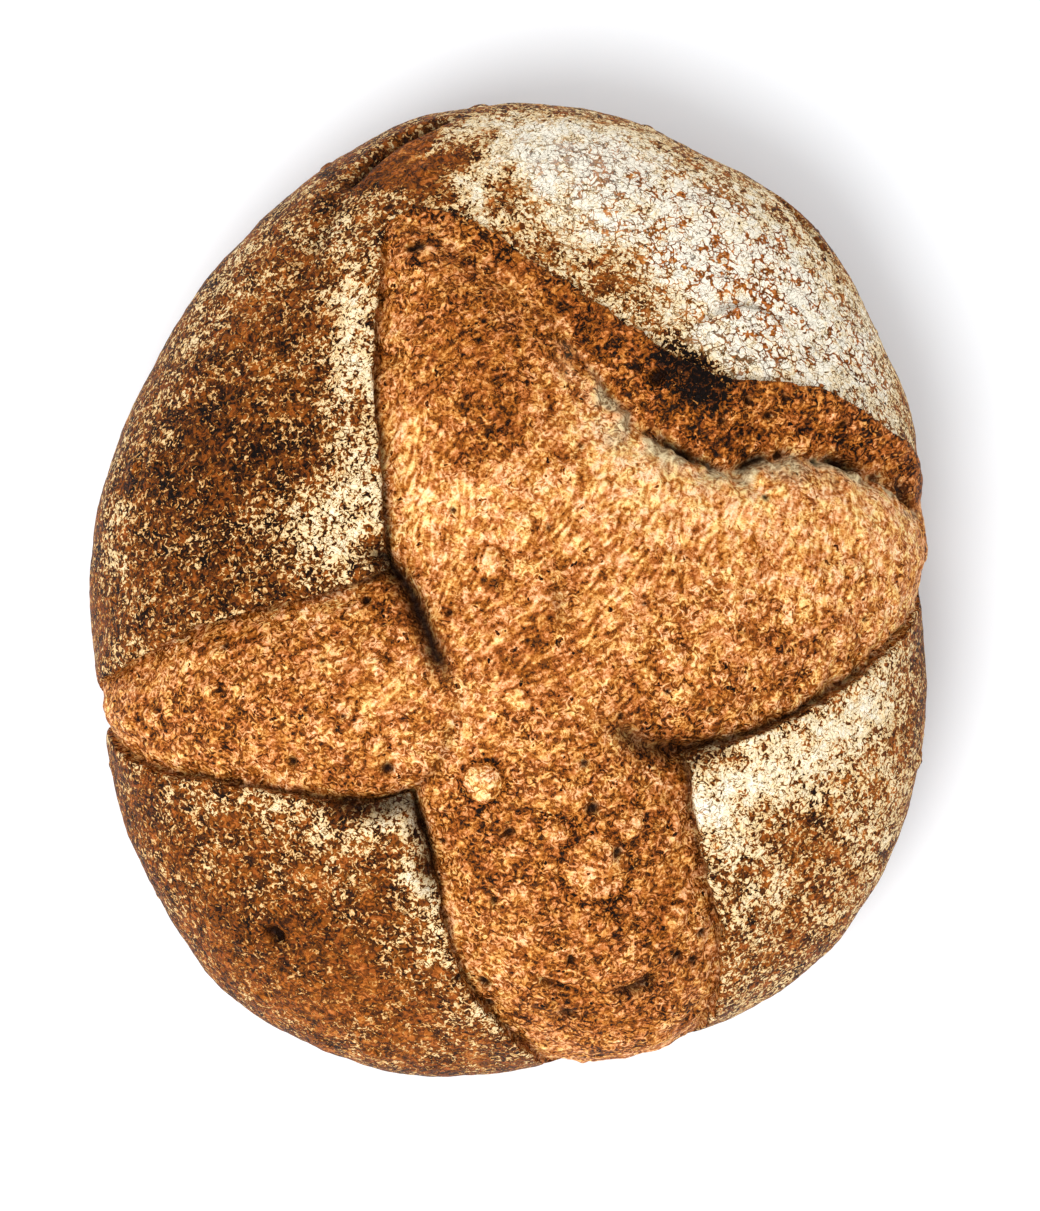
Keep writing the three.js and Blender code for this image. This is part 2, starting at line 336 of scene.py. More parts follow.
# How much browner than usual the flaps baked.
FLAP_BAKE: tuple[Patch, ...] = (
    Patch(-80, 40, 34, 26, 60, 0.07), Patch(-60, 20, 30, 20, 20, 0.06),
    Patch(-92, 0, 16, 40, 0, -0.02), Patch(-62, 66, 26, 14, 60, -0.05),
    Patch(-40, -112, 34, 14, -20, -0.13), Patch(-60, -78, 30, 20, 0, -0.05),
    Patch(48, 59, 7, 3, -20, 0.40), Patch(80, -70, 40, 26, 60, -0.08),
    Patch(-30, 112, 16, 5, 35, -0.06), Patch(100, -30, 16, 30, 0, -0.08),
    Patch(50, 90, 50, 26, -40, -0.14), Patch(30, 79, 14, 8, -30, -0.06),
    Patch(-20, 108, 16, 12, 20, -0.10), Patch(-64, -84, 8, 6, 0, 0.10),
)

# How much browner than usual the band baked, with the char on its ear.
BAND_BAKE: tuple[Patch, ...] = (
    Patch(48, 54, 6.5, 5.5, -30, 0.90), Patch(38, 58, 10, 6, -40, 0.08),
    Patch(80, 42, 20, 6, 0, -0.06), Patch(98, 34, 12, 8, -40, -0.04),
    Patch(62, 44, 14, 5, -10, -0.02),
)

# How much browner than usual the bloom baked, and one patch of painted shade beside a crease.
BLOOM_BAKE_AND_SHADE: tuple[Patch, ...] = (
    Patch(-10, 72, 26, 28, 60, 0.14), Patch(-4, 48, 20, 18, 40, 0.10),
    Patch(-3, 38, 9, 7, 0, 0.07), Patch(22, 60, 18, 12, -40, 0.12),
    Patch(-24, 34, 8, 14, 0, -0.10), Patch(-14, 18, 14, 16, 60, -0.12),
    Patch(4, 24, 12, 10, 0, -0.12), Patch(30, 38, 18, 10, -30, -0.22),
    Patch(44, 22, 22, 14, 0, -0.12), Patch(74, 16, 26, 18, 0, -0.16),
    Patch(98, 8, 14, 22, 0, -0.10), Patch(60, -4, 24, 10, 10, 0.03),
    Patch(13, -4, 6, 12, 0, 0.10), Patch(24, 8, 14, 12, 0, -0.06),
    Patch(-36, -28, 16, 12, 0, -0.08), Patch(26, -20, 26, 12, 0, 0.01),
    Patch(66, -22, 24, 10, 30, 0.07), Patch(-60, -28, 44, 18, 10, 0.12),
    Patch(-86, -34, 20, 12, 20, 0.02), Patch(-16, -24, 12, 14, 60, -0.04),
    Patch(14, -62, 26, 20, 0, 0.12), Patch(30, -80, 24, 24, 0, 0.13),
    Patch(24, -108, 34, 16, 0, 0.15), Patch(-8, -64, 8, 16, 20, 0.10),
    # The patch at -26, -4 is painted shade beside the crease between the left arm and the middle of the
    # bloom.
    Patch(38, -36, 14, 8, 0, 0.18), Patch(-26, -4, 10, 5, -50, 0.20),
    Patch(-36, -49, 16, 4, 0, 0.14), Patch(-20, 92, 10, 8, 0, 0.12),
)

# How much more flour than usual lies on the flaps.
FLAP_FLOUR: tuple[Patch, ...] = (
    Patch(50, 88, 60, 30, -38, 0.86), Patch(88, 58, 30, 22, -50, 0.28),
    Patch(8, 112, 26, 12, -14, 0.50), Patch(56, 60, 16, 8, -20, 0.25),
    Patch(30, 79, 13, 6, -35, -0.38), Patch(76, 97, 15, 4, -50, -0.55),
    Patch(-16, 109, 18, 5, 20, -0.50), Patch(-40, 92, 12, 12, 40, 0.18),
    Patch(49, 58, 8, 3, -20, -0.60), Patch(-27, 112, 15, 5, 35, -0.60),
    Patch(-12, 101, 9, 4, -40, 0.36), Patch(1, 106, 4, 8, -30, -0.40),
    Patch(-26, 101, 8, 6, 0, -0.20), Patch(-39, 30, 7, 30, 4, 0.26),
    Patch(-48, 16, 15, 12, 30, 0.27), Patch(-38, 66, 7, 16, 0, 0.34),
    Patch(-74, 76, 34, 10, 52, 0.18), Patch(-100, 20, 6, 40, 10, 0.16),
    Patch(-70, 30, 22, 26, 60, -0.08), Patch(60, -48, 22, 9, 20, 0.27),
    Patch(54, -56, 10, 16, 0, 0.30), Patch(88, -34, 24, 8, 35, 0.42),
    Patch(62, -76, 12, 22, 0, 0.20), Patch(96, -56, 18, 34, 0, 0.24),
    Patch(70, -100, 24, 14, 30, 0.14), Patch(-32, -60, 12, 5, 0, 0.22),
    Patch(-22, -78, 5, 18, 14, 0.34), Patch(-60, -57, 26, 3, -4, 0.16),
    Patch(-50, -66, 16, 8, -20, 0.10), Patch(-6, -108, 8, 14, 40, 0.20),
    Patch(-48, -96, 30, 18, -30, -0.10),
)

# Where flour strayed onto the bloom.
BLOOM_FLOUR: tuple[Patch, ...] = (
    Patch(-12, 96, 13, 5, -20, 0.45), Patch(-16, 12, 9, 5, 0, 0.12),
)

# Where the flour coat cracked into islands.
CRACKLED: tuple[Patch, ...] = (
    Patch(56, 84, 64, 34, -38, 1.2), Patch(88, 50, 30, 20, -50, 0.5),
)


# ---------------------------------------------------------------------------------------------
# The plain shape and its map
# ---------------------------------------------------------------------------------------------

@dataclass
class Dome:
    """The loaf before it is scored: a dome over the belly's outline, tucked under to a flat base.

    All sizes are millimetres on a loaf of its usual size. `place` sizes it to the frame's box.
    """

    crown_height: float = 88.0
    belly_height: float = 34.0
    base_ratio: float = 0.8
    fullness: float = 2.4
    steps: int = 400
    outline: tuple[Point, ...] = (
        (108, 0), (109, 20), (103, 52), (80, 93), (44, 117), (0, 127), (-42, 114),
        (-74, 86), (-96, 51), (-108, 18), (-109, -4), (-105, -35), (-93, -78), (-66, -112),
        (-22, -127), (20, -122), (45, -118), (82, -96), (104, -60), (109, -30),
    )

    @cached_property
    def belly(self) -> tuple[Array, Array]:
        """Bearings in rising order, and the belly's radius at each.

        Returns:
            The bearings and the radii.
        """
        curve = smooth_path(self.outline, closed=True)
        bearing = np.arctan2(curve[:, 1], curve[:, 0])
        order = np.argsort(bearing)
        return bearing[order], np.hypot(curve[order, 0], curve[order, 1])

    @cached_property
    def mean_radius(self) -> float:
        """The belly's radius, averaged over all bearings."""
        return float(self.radius(np.linspace(-np.pi, np.pi, 720, endpoint=False)).mean())

    @cached_property
    def section(self) -> tuple[Array, Array, Array]:
        """Length along the section from the crown, share of the belly's radius, and height.

        Above the belly the section is a superellipse, and below it a quarter of an ellipse.

        Returns:
            The lengths, the shares and the heights.
        """
        angle = np.linspace(0, np.pi / 2, self.steps + 1)
        reach = np.concatenate((np.sin(angle) ** (2 / self.fullness),
                                mix(self.base_ratio, 1.0, np.cos(angle[1:]))))
        height = np.concatenate((mix(self.belly_height, self.crown_height, np.cos(angle)),
                                 self.belly_height * (1 - np.sin(angle[1:]))))
        stride = np.hypot(np.diff(reach) * self.mean_radius, np.diff(height))
        return np.concatenate(([0.0], np.cumsum(stride))), reach, height

    @cached_property
    def belly_length(self) -> float:
        """Length along the section from the crown to the belly."""
        return float(self.section[0][self.steps])

    @cached_property
    def full_length(self) -> float:
        """Length along the section from the crown to the edge of the flat base."""
        return float(self.section[0][-1])

    def radius(self, bearing: Array) -> Array:
        """The belly's radius at each bearing."""
        return np.interp(bearing, *self.belly, period=2 * np.pi)

    def length_at(self, x: Array, y: Array) -> Array:
        """Length along the section from the crown to each place on the map."""
        return np.hypot(x, y) * self.mean_radius / self.radius(np.arctan2(y, x))

    def map_place(self, bearing: Array, length: Array) -> tuple[Array, Array]:
        """The place on the map at a bearing and a length from the crown."""
        away = length * self.radius(bearing) / self.mean_radius
        return away * np.cos(bearing), away * np.sin(bearing)

    def unroll(self, x: Array | float, y: Array | float) -> tuple[Array, Array]:
        """The place on the map of a point seen from above.

        A point outside the belly is as far below the belly as it is outside.

        Args:
            x: places to the right of the crown, seen from above, mm.
            y: places above the crown, seen from above, mm.

        Returns:
            Places along the map and up it.
        """
        bearing = np.arctan2(y, x)
        reach = np.hypot(x, y) / self.radius(bearing)
        lengths, reaches, _ = (part[:self.steps + 1] for part in self.section)
        above = np.interp(np.minimum(reach, 1.0), reaches, lengths)
        return self.map_place(bearing, above + np.maximum(reach - 1.0, 0.0) * self.mean_radius)

    def surface(self, x: Array, y: Array) -> Array:
        """The plain skin's points over places on the map.

        The bearing is the place's own. The section gives the share of the belly's radius and the
        height at the place's length from the crown.

        Args:
            x: places along the map, mm.
            y: places up the map, mm.

        Returns:
            One row of x, y and z for each place, mm.
        """
        bearing = np.arctan2(y, x)
        length = self.length_at(x, y)
        lengths, reaches, heights = self.section
        away = np.interp(length, lengths, reaches) * self.radius(bearing)
        height = np.interp(length, lengths, heights)
        return np.stack((away * np.cos(bearing), away * np.sin(bearing), height), axis=-1)

    def directions(self, x: Array, y: Array) -> tuple[Array, Array, Array]:
        """Unit vectors on the skin along the map's x and its y, and straight out of the skin.

        Args:
            x: places along the map, mm.
            y: places up the map, mm.

        Returns:
            Three arrays with one unit vector for each place.
        """
        step = 0.5
        along = self.surface(x + step, y) - self.surface(x - step, y)
        upward = self.surface(x, y + step) - self.surface(x, y - step)
        outward = np.cross(along, upward)
        return tuple(part / (np.linalg.norm(part, axis=-1, keepdims=True) + 1e-9)
                     for part in (along, upward, outward))


@dataclass
class SkinMap:
    """A square raster over the unrolled skin, on which every field of the crust is worked out."""

    dome: Dome
    pitch: float = 0.4
    margin: float = 6.0
    wander: float = 5.0
    wander_size: float = 22.0

    @cached_property
    def half(self) -> float:
        """Half the side of the raster, mm."""
        widest = self.dome.belly[1].max() / self.dome.mean_radius
        return self.dome.full_length * widest + self.margin

    @cached_property
    def axis(self) -> Array:
        """Places of the raster's columns and of its rows."""
        return np.arange(-self.half, self.half, self.pitch, dtype=np.float32)

    @cached_property
    def grid(self) -> tuple[Array, Array]:
        """Place of each cell along the map and up it."""
        return tuple(np.meshgrid(self.axis, self.axis))

    @cached_property
    def length(self) -> Array:
        """Length from the crown of each cell."""
        return self.dome.length_at(*self.grid).astype(np.float32)

    def shaken(self, seed_x: Seed, seed_y: Seed, reach: float, size: float) -> tuple[Array, Array]:
        """Places of the cells, moved by noise.

        Args:
            seed_x: seed of the noise that moves them along the map.
            seed_y: seed of the noise that moves them up the map.
            reach: how far the noise moves them, mm.
            size: width of the noise, mm.

        Returns:
            The moved places along the map and up it.
        """
        x, y = self.grid
        return x + reach * Noise(seed_x).layered(x, y, size), y + reach * Noise(seed_y).layered(x, y, size)

    @cached_property
    def wandering(self) -> tuple[Array, Array]:
        """Places of the cells, moved so that what is painted on them has wandering edges."""
        return self.shaken(Seed.PAINT_ACROSS, Seed.PAINT_UP, self.wander, self.wander_size)

    def paint(self, patches: Sequence[Patch]) -> Array:
        """Adds up soft oval patches.

        Each patch is its amount times a bell curve of the distance from its middle, measured along
        its length and its width.

        Args:
            patches: the patches, with their middles as seen from above.

        Returns:
            The sum in each cell.
        """
        x, y = self.wandering
        total = np.zeros_like(x)
        for patch in patches:
            middle = self.dome.unroll(patch.x, patch.y)
            turn = math.radians(patch.turn)
            away_x, away_y = x - middle[0], y - middle[1]
            along = (away_x * math.cos(turn) + away_y * math.sin(turn)) / patch.long
            across = (away_y * math.cos(turn) - away_x * math.sin(turn)) / patch.wide
            total += patch.amount * np.exp(-along ** 2 - across ** 2)
        return total

    def sample(self, values: Array, x: Array, y: Array) -> Array:
        """Values of a field between cells, blended from the four cells around each place.

        Args:
            values: the field, one value for each cell.
            x: places along the map, mm.
            y: places up the map, mm.

        Returns:
            The value at each place.
        """
        last = len(self.axis) - 2
        across = np.clip((x - self.axis[0]) / self.pitch, 0, last + 0.999)
        up = np.clip((y - self.axis[0]) / self.pitch, 0, last + 0.999)
        column, row = across.astype(np.int32), up.astype(np.int32)
        right, high = across - column, up - row
        low = mix(values[row, column], values[row, column + 1], right)
        top = mix(values[row + 1, column], values[row + 1, column + 1], right)
        return mix(low, top, high)

    def window(self, x: Sequence[float], y: Sequence[float], reach: float) -> tuple[slice, slice]:
        """Rows and columns that lie within a distance of the given places.

        Args:
            x: places along the map, mm.
            y: places up the map, mm.
            reach: the distance, mm.

        Returns:
            The rows and the columns.
        """
        def cells(places: Sequence[float]) -> slice:
            """The stretch of cells around the places on one axis."""
            start = int((min(places) - reach - self.axis[0]) / self.pitch)
            end = int((max(places) + reach - self.axis[0]) / self.pitch) + 2
            return slice(max(0, start), max(0, min(end, len(self.axis))))
        return cells(y), cells(x)

    def distance(self, path: Array, x: Array, y: Array, reach: float) -> tuple[Array, Array]:
        """Distance of each cell from a path, and the value that the path carries nearest to it.

        Each straight stretch of the path is measured only in the window that it can reach.

        Args:
            path: rows of x, y and the carried value, on the map.
            x: place of each cell along the map, which may be shaken.
            y: place of each cell up the map, which may be shaken.
            reach: distances stop at this.

        Returns:
            The distances, and the carried values.
        """
        nearest = np.full(x.shape, reach, np.float32)
        carried = np.full(x.shape, path[:, 2].mean(), np.float32)
        for start, end in zip(path[:-1], path[1:]):
            cells = self.window((start[0], end[0]), (start[1], end[1]), reach + self.margin)
            step = end - start
            squared = max(step[0] ** 2 + step[1] ** 2, 1e-9)
            from_x, from_y = x[cells] - start[0], y[cells] - start[1]
            share = np.clip((from_x * step[0] + from_y * step[1]) / squared, 0, 1)
            gap = np.hypot(from_x - share * step[0], from_y - share * step[1])
            closer = gap < nearest[cells]
            nearest[cells] = np.where(closer, gap, nearest[cells])
            carried[cells] = np.where(closer, start[2] + share * step[2], carried[cells])
        return nearest, carried

    def inside(self, path: Array, x: Array, y: Array) -> Array:
        """Whether each cell lies inside a closed path.

        A ray from an inside cell to its right crosses the path an odd number of times.

        Args:
            path: rows of x, y and a carried value, on the map.
            x: place of each cell along the map, which may be shaken.
            y: place of each cell up the map, which may be shaken.

        Returns:
            True in the cells inside.
        """
        within = np.zeros(x.shape, bool)
        for start, end in zip(path, np.roll(path, -1, axis=0)):
            if start[1] == end[1]:
                continue
            rows = self.window((0,), (start[1], end[1]), self.margin)[0]
            height = y[rows]
            spans = (start[1] > height) != (end[1] > height)
            crossing = start[0] + (height - start[1]) / (end[1] - start[1]) * (end[0] - start[0])
            within[rows] ^= spans & (x[rows] < crossing)
        return within


# ---------------------------------------------------------------------------------------------
# The crust's fields
# ---------------------------------------------------------------------------------------------

@dataclass
class Scoring:
    """The opened cuts: which part of the skin is flap, band or pillow, and how far it stands out.

    Rises, depths, reaches and widths are millimetres, and a shake is the reach and the size of the
    noise that moves the cells. A flap's lip and the ear over the band rise fully where the cut
    opened, and to their closed share where it stayed shut.
    """

    skin: SkinMap
    reach: float = 45.0
    cut_shake: tuple[float, float] = (0.7, 7.0)
    tear_shake: tuple[float, float] = (1.8, 6.0)
    closed_depth: float = 0.2
    lip_rise: float = 2.2
    lip_reach: float = 9.0
    lip_closed: float = 0.35
    ear_rise: float = 4.5
    ear_closed: float = 0.3
    notch_depth: float = 0.8
    notch_reach: float = 0.8
    pillow_rise: float = 7.0
    pillow_reach: float = 13.0
    torn_depth: float = 4.0
    groove_depth: float = 2.2
    groove_reach: float = 1.3
    rim_fade: float = 26.0
    relief_end: float = 30.0
    wall: float = 0.9
    overhang: float = 1.3
    overhang_reach: float = 3.0

    def outline(self, top: FlapEdge) -> Array:
        """The closed outline of the bloom or, with the tear as its top edge, of the pillow."""
        edges = (FlapEdge.UPPER_LEFT_SIDE, FlapEdge.UPPER_LEFT_FOOT, Tip.LEFT, FlapEdge.LOWER_LEFT_TOP,
                 FlapEdge.LOWER_LEFT_SIDE, Tip.BOTTOM, FlapEdge.LOWER_RIGHT_SIDE,
                 FlapEdge.LOWER_RIGHT_TOP, Tip.RIGHT, top)
        return np.vstack([self.on_map(edge.value) for edge in edges])

    def on_map(self, points: Sequence[Sequence[float]]) -> Array:
        """A smooth path through points seen from above, as rows of map x, map y and carried value."""
        path = smooth_path(points)
        return np.column_stack((*self.skin.dome.unroll(path[:, 0], path[:, 1]), path[:, 2]))

    @cached_property
    def shaken(self) -> tuple[Array, Array]:
        """Places of the cells, moved a little so that cut edges run like cut dough."""
        return self.skin.shaken(Seed.CUT_ACROSS, Seed.CUT_UP, *self.cut_shake)

    @cached_property
    def torn_places(self) -> tuple[Array, Array]:
        """Places of the cells, moved more and in shorter steps, for the ragged tear."""
        return self.skin.shaken(Seed.TEAR_ACROSS, Seed.TEAR_UP, *self.tear_shake)

    def signed(self, path: Array, places: tuple[Array, Array]) -> tuple[Array, Array]:
        """Distance from an outline, negative inside it, and the crease's depth nearest to it.

        Args:
            path: the outline on the map, with the depth that it carries.
            places: places of the cells along the map and up it.

        Returns:
            The distances and the depths.
        """
        closed = np.vstack((path, path[:1]))
        gap, depth = self.skin.distance(closed, *places, self.reach)
        return np.where(self.skin.inside(path, *places), -gap, gap), depth

    @cached_property
    def bloom(self) -> tuple[Array, Array]:
        """Distance from the bloom's outline, negative inside, and crease depth."""
        return self.signed(self.outline(FlapEdge.UPPER_RIGHT), self.shaken)

    @cached_property
    def pillow(self) -> tuple[Array, Array]:
        """Distance from the pillow's outline, negative inside, and crease depth."""
        return self.signed(self.outline(FlapEdge.TEAR), self.torn_places)

    @cached_property
    def tear(self) -> tuple[Array, Array]:
        """Distance from the tear itself, and its depth."""
        return self.skin.distance(self.on_map(FlapEdge.TEAR.value), *self.torn_places, self.reach)

    @cached_property
    def torn_open(self) -> Array:
        """How far the tear opened at its nearest point, from 0 to 1."""
        return np.clip(self.tear[1] / self.torn_depth, 0, 1)

    @cached_property
    def near_rim(self) -> Array:
        """1 over most of the loaf, falling to 0 at the belly."""
        return smooth((self.skin.dome.belly_length - self.skin.length) / self.rim_fade)

    @cached_property
    def strength(self) -> Array:
        """1 down to the belly, falling to 0 some way below it."""
        return 1 - smooth((self.skin.length - self.skin.dome.belly_length) / self.relief_end)

    @cached_property
    def on_flap(self) -> Array:
        """1 on the flaps and 0 in the bloom."""
        return smooth(0.5 + self.bloom[0] / self.wall)

    @cached_property
    def on_band(self) -> Array:
        """1 on the band between the upper right flap and the tear, and 0 elsewhere."""
        return (1 - self.on_flap) * smooth(0.5 + self.pillow[0] / self.wall)

    @cached_property
    def rise(self) -> Array:
        """How far the opened cuts lift or sink the skin.

        A flap curls up towards its edge and is notched there. The band slopes from that edge down
        to the tear. The pillow climbs from the crease around it, quickly and then slowly.

        Returns:
            The rise of each cell, mm, negative where it sinks.
        """
        edge, cut = self.bloom
        seam, depth = self.pillow
        parted = np.clip(cut - self.closed_depth, 0, 1)
        flap = self.near_rim * self.lip_rise * np.exp(-(edge / self.lip_reach) ** 2)
        notch = self.notch_depth * parted * np.exp(-np.abs(edge) / self.notch_reach)
        flap = flap * mix(self.lip_closed, 1.0, parted) - notch
        across = np.abs(edge) / (np.abs(edge) + np.abs(seam) + TINY)
        ear = mix(self.ear_closed, 1.0, parted) * self.ear_rise * self.near_rim
        band = mix(ear, -depth, smooth(across))
        risen = 1 - np.exp(-np.abs(seam) / self.pillow_reach)
        raised = mix(-depth, self.pillow_rise * self.near_rim, risen)
        opened = mix(raised, band, smooth(0.5 + seam / self.wall))
        groove = self.torn_open * self.groove_depth * np.exp(-(self.tear[0] / self.groove_reach) ** 2)
        return self.strength * mix(opened - groove, flap, self.on_flap)

    @cached_property
    def lean(self) -> tuple[Array, Array]:
        """How far each flap's edge leans over its crease, along the map and up it.

        Returns:
            Two fields of distances, mm.
        """
        edge, _ = self.bloom
        up, along = np.gradient(edge, self.skin.pitch)
        fading = np.exp(-(np.maximum(edge, 0) / self.overhang_reach) ** 2)
        amount = self.overhang * self.strength * self.on_flap * fading
        return -along * amount, -up * amount


@dataclass
class Stretch:
    """How the dough was drawn out as the cuts opened: which way, how far, and its strands.

    Shakes, sizes and steps are millimetres. The facing is the bearing, in degrees, that all strands
    are turned towards.
    """

    scoring: Scoring
    flow_shake: float = 3.0
    flow_size: float = 14.0
    turning: float = 0.6
    turning_size: float = 8.0
    facing: float = 45.0
    usual: float = 0.22
    change: float = 0.4
    change_size: float = 9.0
    least: float = 0.12
    most: float = 0.8
    strand_size: float = 3.0
    strand_step: float = 1.2
    strand_taps: int = 3

    @cached_property
    def flow(self) -> tuple[Array, Array]:
        """The way that the dough stretched as the cuts opened, as a unit vector on the map.

        The listed bearings are averaged by distance. They are averaged as doubled angles, because
        a strand has no front or back, and turned to face up and to the right.

        Returns:
            The vectors' parts along the map and up it.
        """
        skin = self.scoring.skin
        x, y = skin.grid
        x = x + self.flow_shake * Noise(Seed.FLOW_ACROSS).layered(x, y, self.flow_size)
        y = y + self.flow_shake * Noise(Seed.FLOW_UP).layered(x, y, self.flow_size)
        cosine, sine = np.full_like(x, TINY), np.full_like(x, TINY)
        for patch in BEARINGS:
            middle = skin.dome.unroll(patch.x, patch.y)
            weight = np.exp(-((x - middle[0]) / patch.long) ** 2 - ((y - middle[1]) / patch.wide) ** 2)
            cosine += weight * math.cos(2 * math.radians(patch.amount))
            sine += weight * math.sin(2 * math.radians(patch.amount))
        angle = 0.5 * np.arctan2(sine, cosine)
        angle += self.turning * Noise(Seed.FLOW_TURN).layered(*skin.grid, self.turning_size)
        backward = np.cos(angle - math.radians(self.facing)) < 0
        angle = np.where(backward, angle + np.pi, angle)
        return np.cos(angle), np.sin(angle)

    @cached_property
    def drawn(self) -> Array:
        """How far the dough was drawn into strands: 0 on the flaps, over 0.1 in the bloom, up to 1.

        Returns:
            The share of strands in each cell.
        """
        skin = self.scoring.skin
        stretched = self.usual + skin.paint(DRAWN_PLACES)
        stretched += self.change * Noise(Seed.DRAWN).layered(*skin.grid, self.change_size)
        return np.clip(stretched, self.least, self.most) * (1 - self.scoring.on_flap)

    @cached_property
    def strands(self) -> Array:
        """Ridges along the stretched dough: fine noise, averaged along the flow.

        Returns:
            Ridges that mostly lie between -1 and 1.
        """
        skin = self.scoring.skin
        x, y = skin.grid
        fine = Noise(Seed.STRANDS).layered(x, y, self.strand_size, 2)
        along, up = self.flow
        steps = [self.strand_step * tap for tap in range(-self.strand_taps, self.strand_taps + 1)]
        taps = [skin.sample(fine, x + step * along, y + step * up) for step in steps]
        return sum(taps) / math.sqrt(len(taps))


@dataclass
class Bubbles:
    """The round blisters and pores: some listed one by one, the others strewn over the bloom.

    A pair of values belongs to the smallest and the largest blister or pore. The window, the ring's
    radius and the pit's width are counted in the spot's own radii.
    """

    scoring: Scoring
    blisters: int = 420
    pores: int = 90
    blister_radius: tuple[float, float] = (0.9, 3.4)
    blister_rise: tuple[float, float] = (0.25, 0.75)
    pore_radius: tuple[float, float] = (0.5, 1.25)
    pore_depth: tuple[float, float] = (0.9, 1.8)
    strewn_to: float = 1.05
    edge_gap: float = 1.5
    flap_share: float = 0.3
    window: float = 2.5
    ring_radius: float = 1.2
    ring_width: float = 0.8
    ring_depth: float = 0.25
    ring_tone: float = 1.5
    least_tone: float = 0.03
    tone_by_rise: float = 0.10
    highest: float = 2.5
    pit_width: float = 1.05

    @cached_property
    def placed(self) -> tuple[Spot, ...]:
        """The listed spots, with their middles on the map."""
        unroll = self.scoring.skin.dome.unroll
        return tuple(Spot(*(float(part) for part in unroll(spot.x, spot.y)), spot.radius, spot.rise)
                     for spot in SPOTS)

    @cached_property
    def strewn(self) -> tuple[Spot, ...]:
        """Blisters and pores strewn over the bloom, with a few blisters on the flaps.

        Returns:
            The spots, with their middles on the map.
        """
        skin = self.scoring.skin
        random = np.random.default_rng(Seed.SPOTS)
        spots = []
        for index in range(self.blisters + self.pores):
            bearing = random.uniform(-np.pi, np.pi)
            length = math.sqrt(random.uniform(0, 1)) * skin.dome.belly_length * self.strewn_to
            size, keep = random.uniform(0, 1) ** 2, random.uniform(0, 1)
            x, y = (float(part) for part in skin.dome.map_place(bearing, length))
            in_bloom = skin.sample(self.scoring.bloom[0], np.array(x), np.array(y)) < -self.edge_gap
            is_pore = index >= self.blisters
            if not in_bloom and (keep > self.flap_share or is_pore):
                continue
            if is_pore:
                spots.append(Spot(x, y, mix(*self.pore_radius, size), -mix(*self.pore_depth, size)))
            else:
                spots.append(Spot(x, y, mix(*self.blister_radius, size), mix(*self.blister_rise, size)))
        return tuple(spots)

    @property
    def every(self) -> tuple[Spot, ...]:
        """All blisters and pores."""
        return *self.placed, *self.strewn

    def stamp(self, target: Array, spot: Spot, ring: float = 0.0) -> None:
        """Adds a round bump or pit to a field: a bell with a flat middle, and a thin ring around it.

        Args:
            target: the field that is changed.
            spot: the feature, with its middle on the map.
            ring: strength of the ring over the strength of the middle.
        """
        cells = self.scoring.skin.window((spot.x,), (spot.y,), spot.radius * self.window)
        x, y = self.scoring.shaken
        away = np.hypot(x[cells] - spot.x, y[cells] - spot.y)
        outline = np.exp(-((away - self.ring_radius * spot.radius) / self.ring_width) ** 2)
        target[cells] += spot.rise * (np.exp(-(away / spot.radius) ** 4) - ring * outline)

    @cached_property
    def relief(self) -> Array:
        """How far blisters and pores lift or sink the skin.

        Returns:
            The rise of each cell, mm.
        """
        spots = np.zeros_like(self.scoring.skin.grid[0])
        for spot in self.every:
            self.stamp(spots, spot, ring=self.ring_depth if spot.rise > 0 else 0.0)
        return spots

    @cached_property
    def pits(self) -> Array:
        """1 in the middle of each pore.

        Returns:
            The share of pit in each cell.
        """
        pits = np.zeros_like(self.scoring.skin.grid[0])
        for spot in self.every:
            if spot.rise < 0:
                self.stamp(pits, Spot(spot.x, spot.y, spot.radius * self.pit_width, 1.0))
        return pits

    @cached_property
    def rings(self) -> Array:
        """Blisters' tone: paler than the crust around them, inside a dark ring of painted shade around each
        blister's foot.

        Returns:
            What each cell's bake-and-shade value changes by.
        """
        tone = np.zeros_like(self.scoring.skin.grid[0])
        for spot in self.every:
            if spot.rise > 0:
                strength = self.least_tone + self.tone_by_rise * min(spot.rise, self.highest)
                self.stamp(tone, Spot(spot.x, spot.y, spot.radius, -strength), ring=self.ring_tone)
        return tone


@dataclass(frozen=True)
class Wave:
    """Lumps of one size in the relief: seed, width, and height on the flaps and in the bloom."""

    seed: Seed
    size: float
    on_flap: float
    in_bloom: float


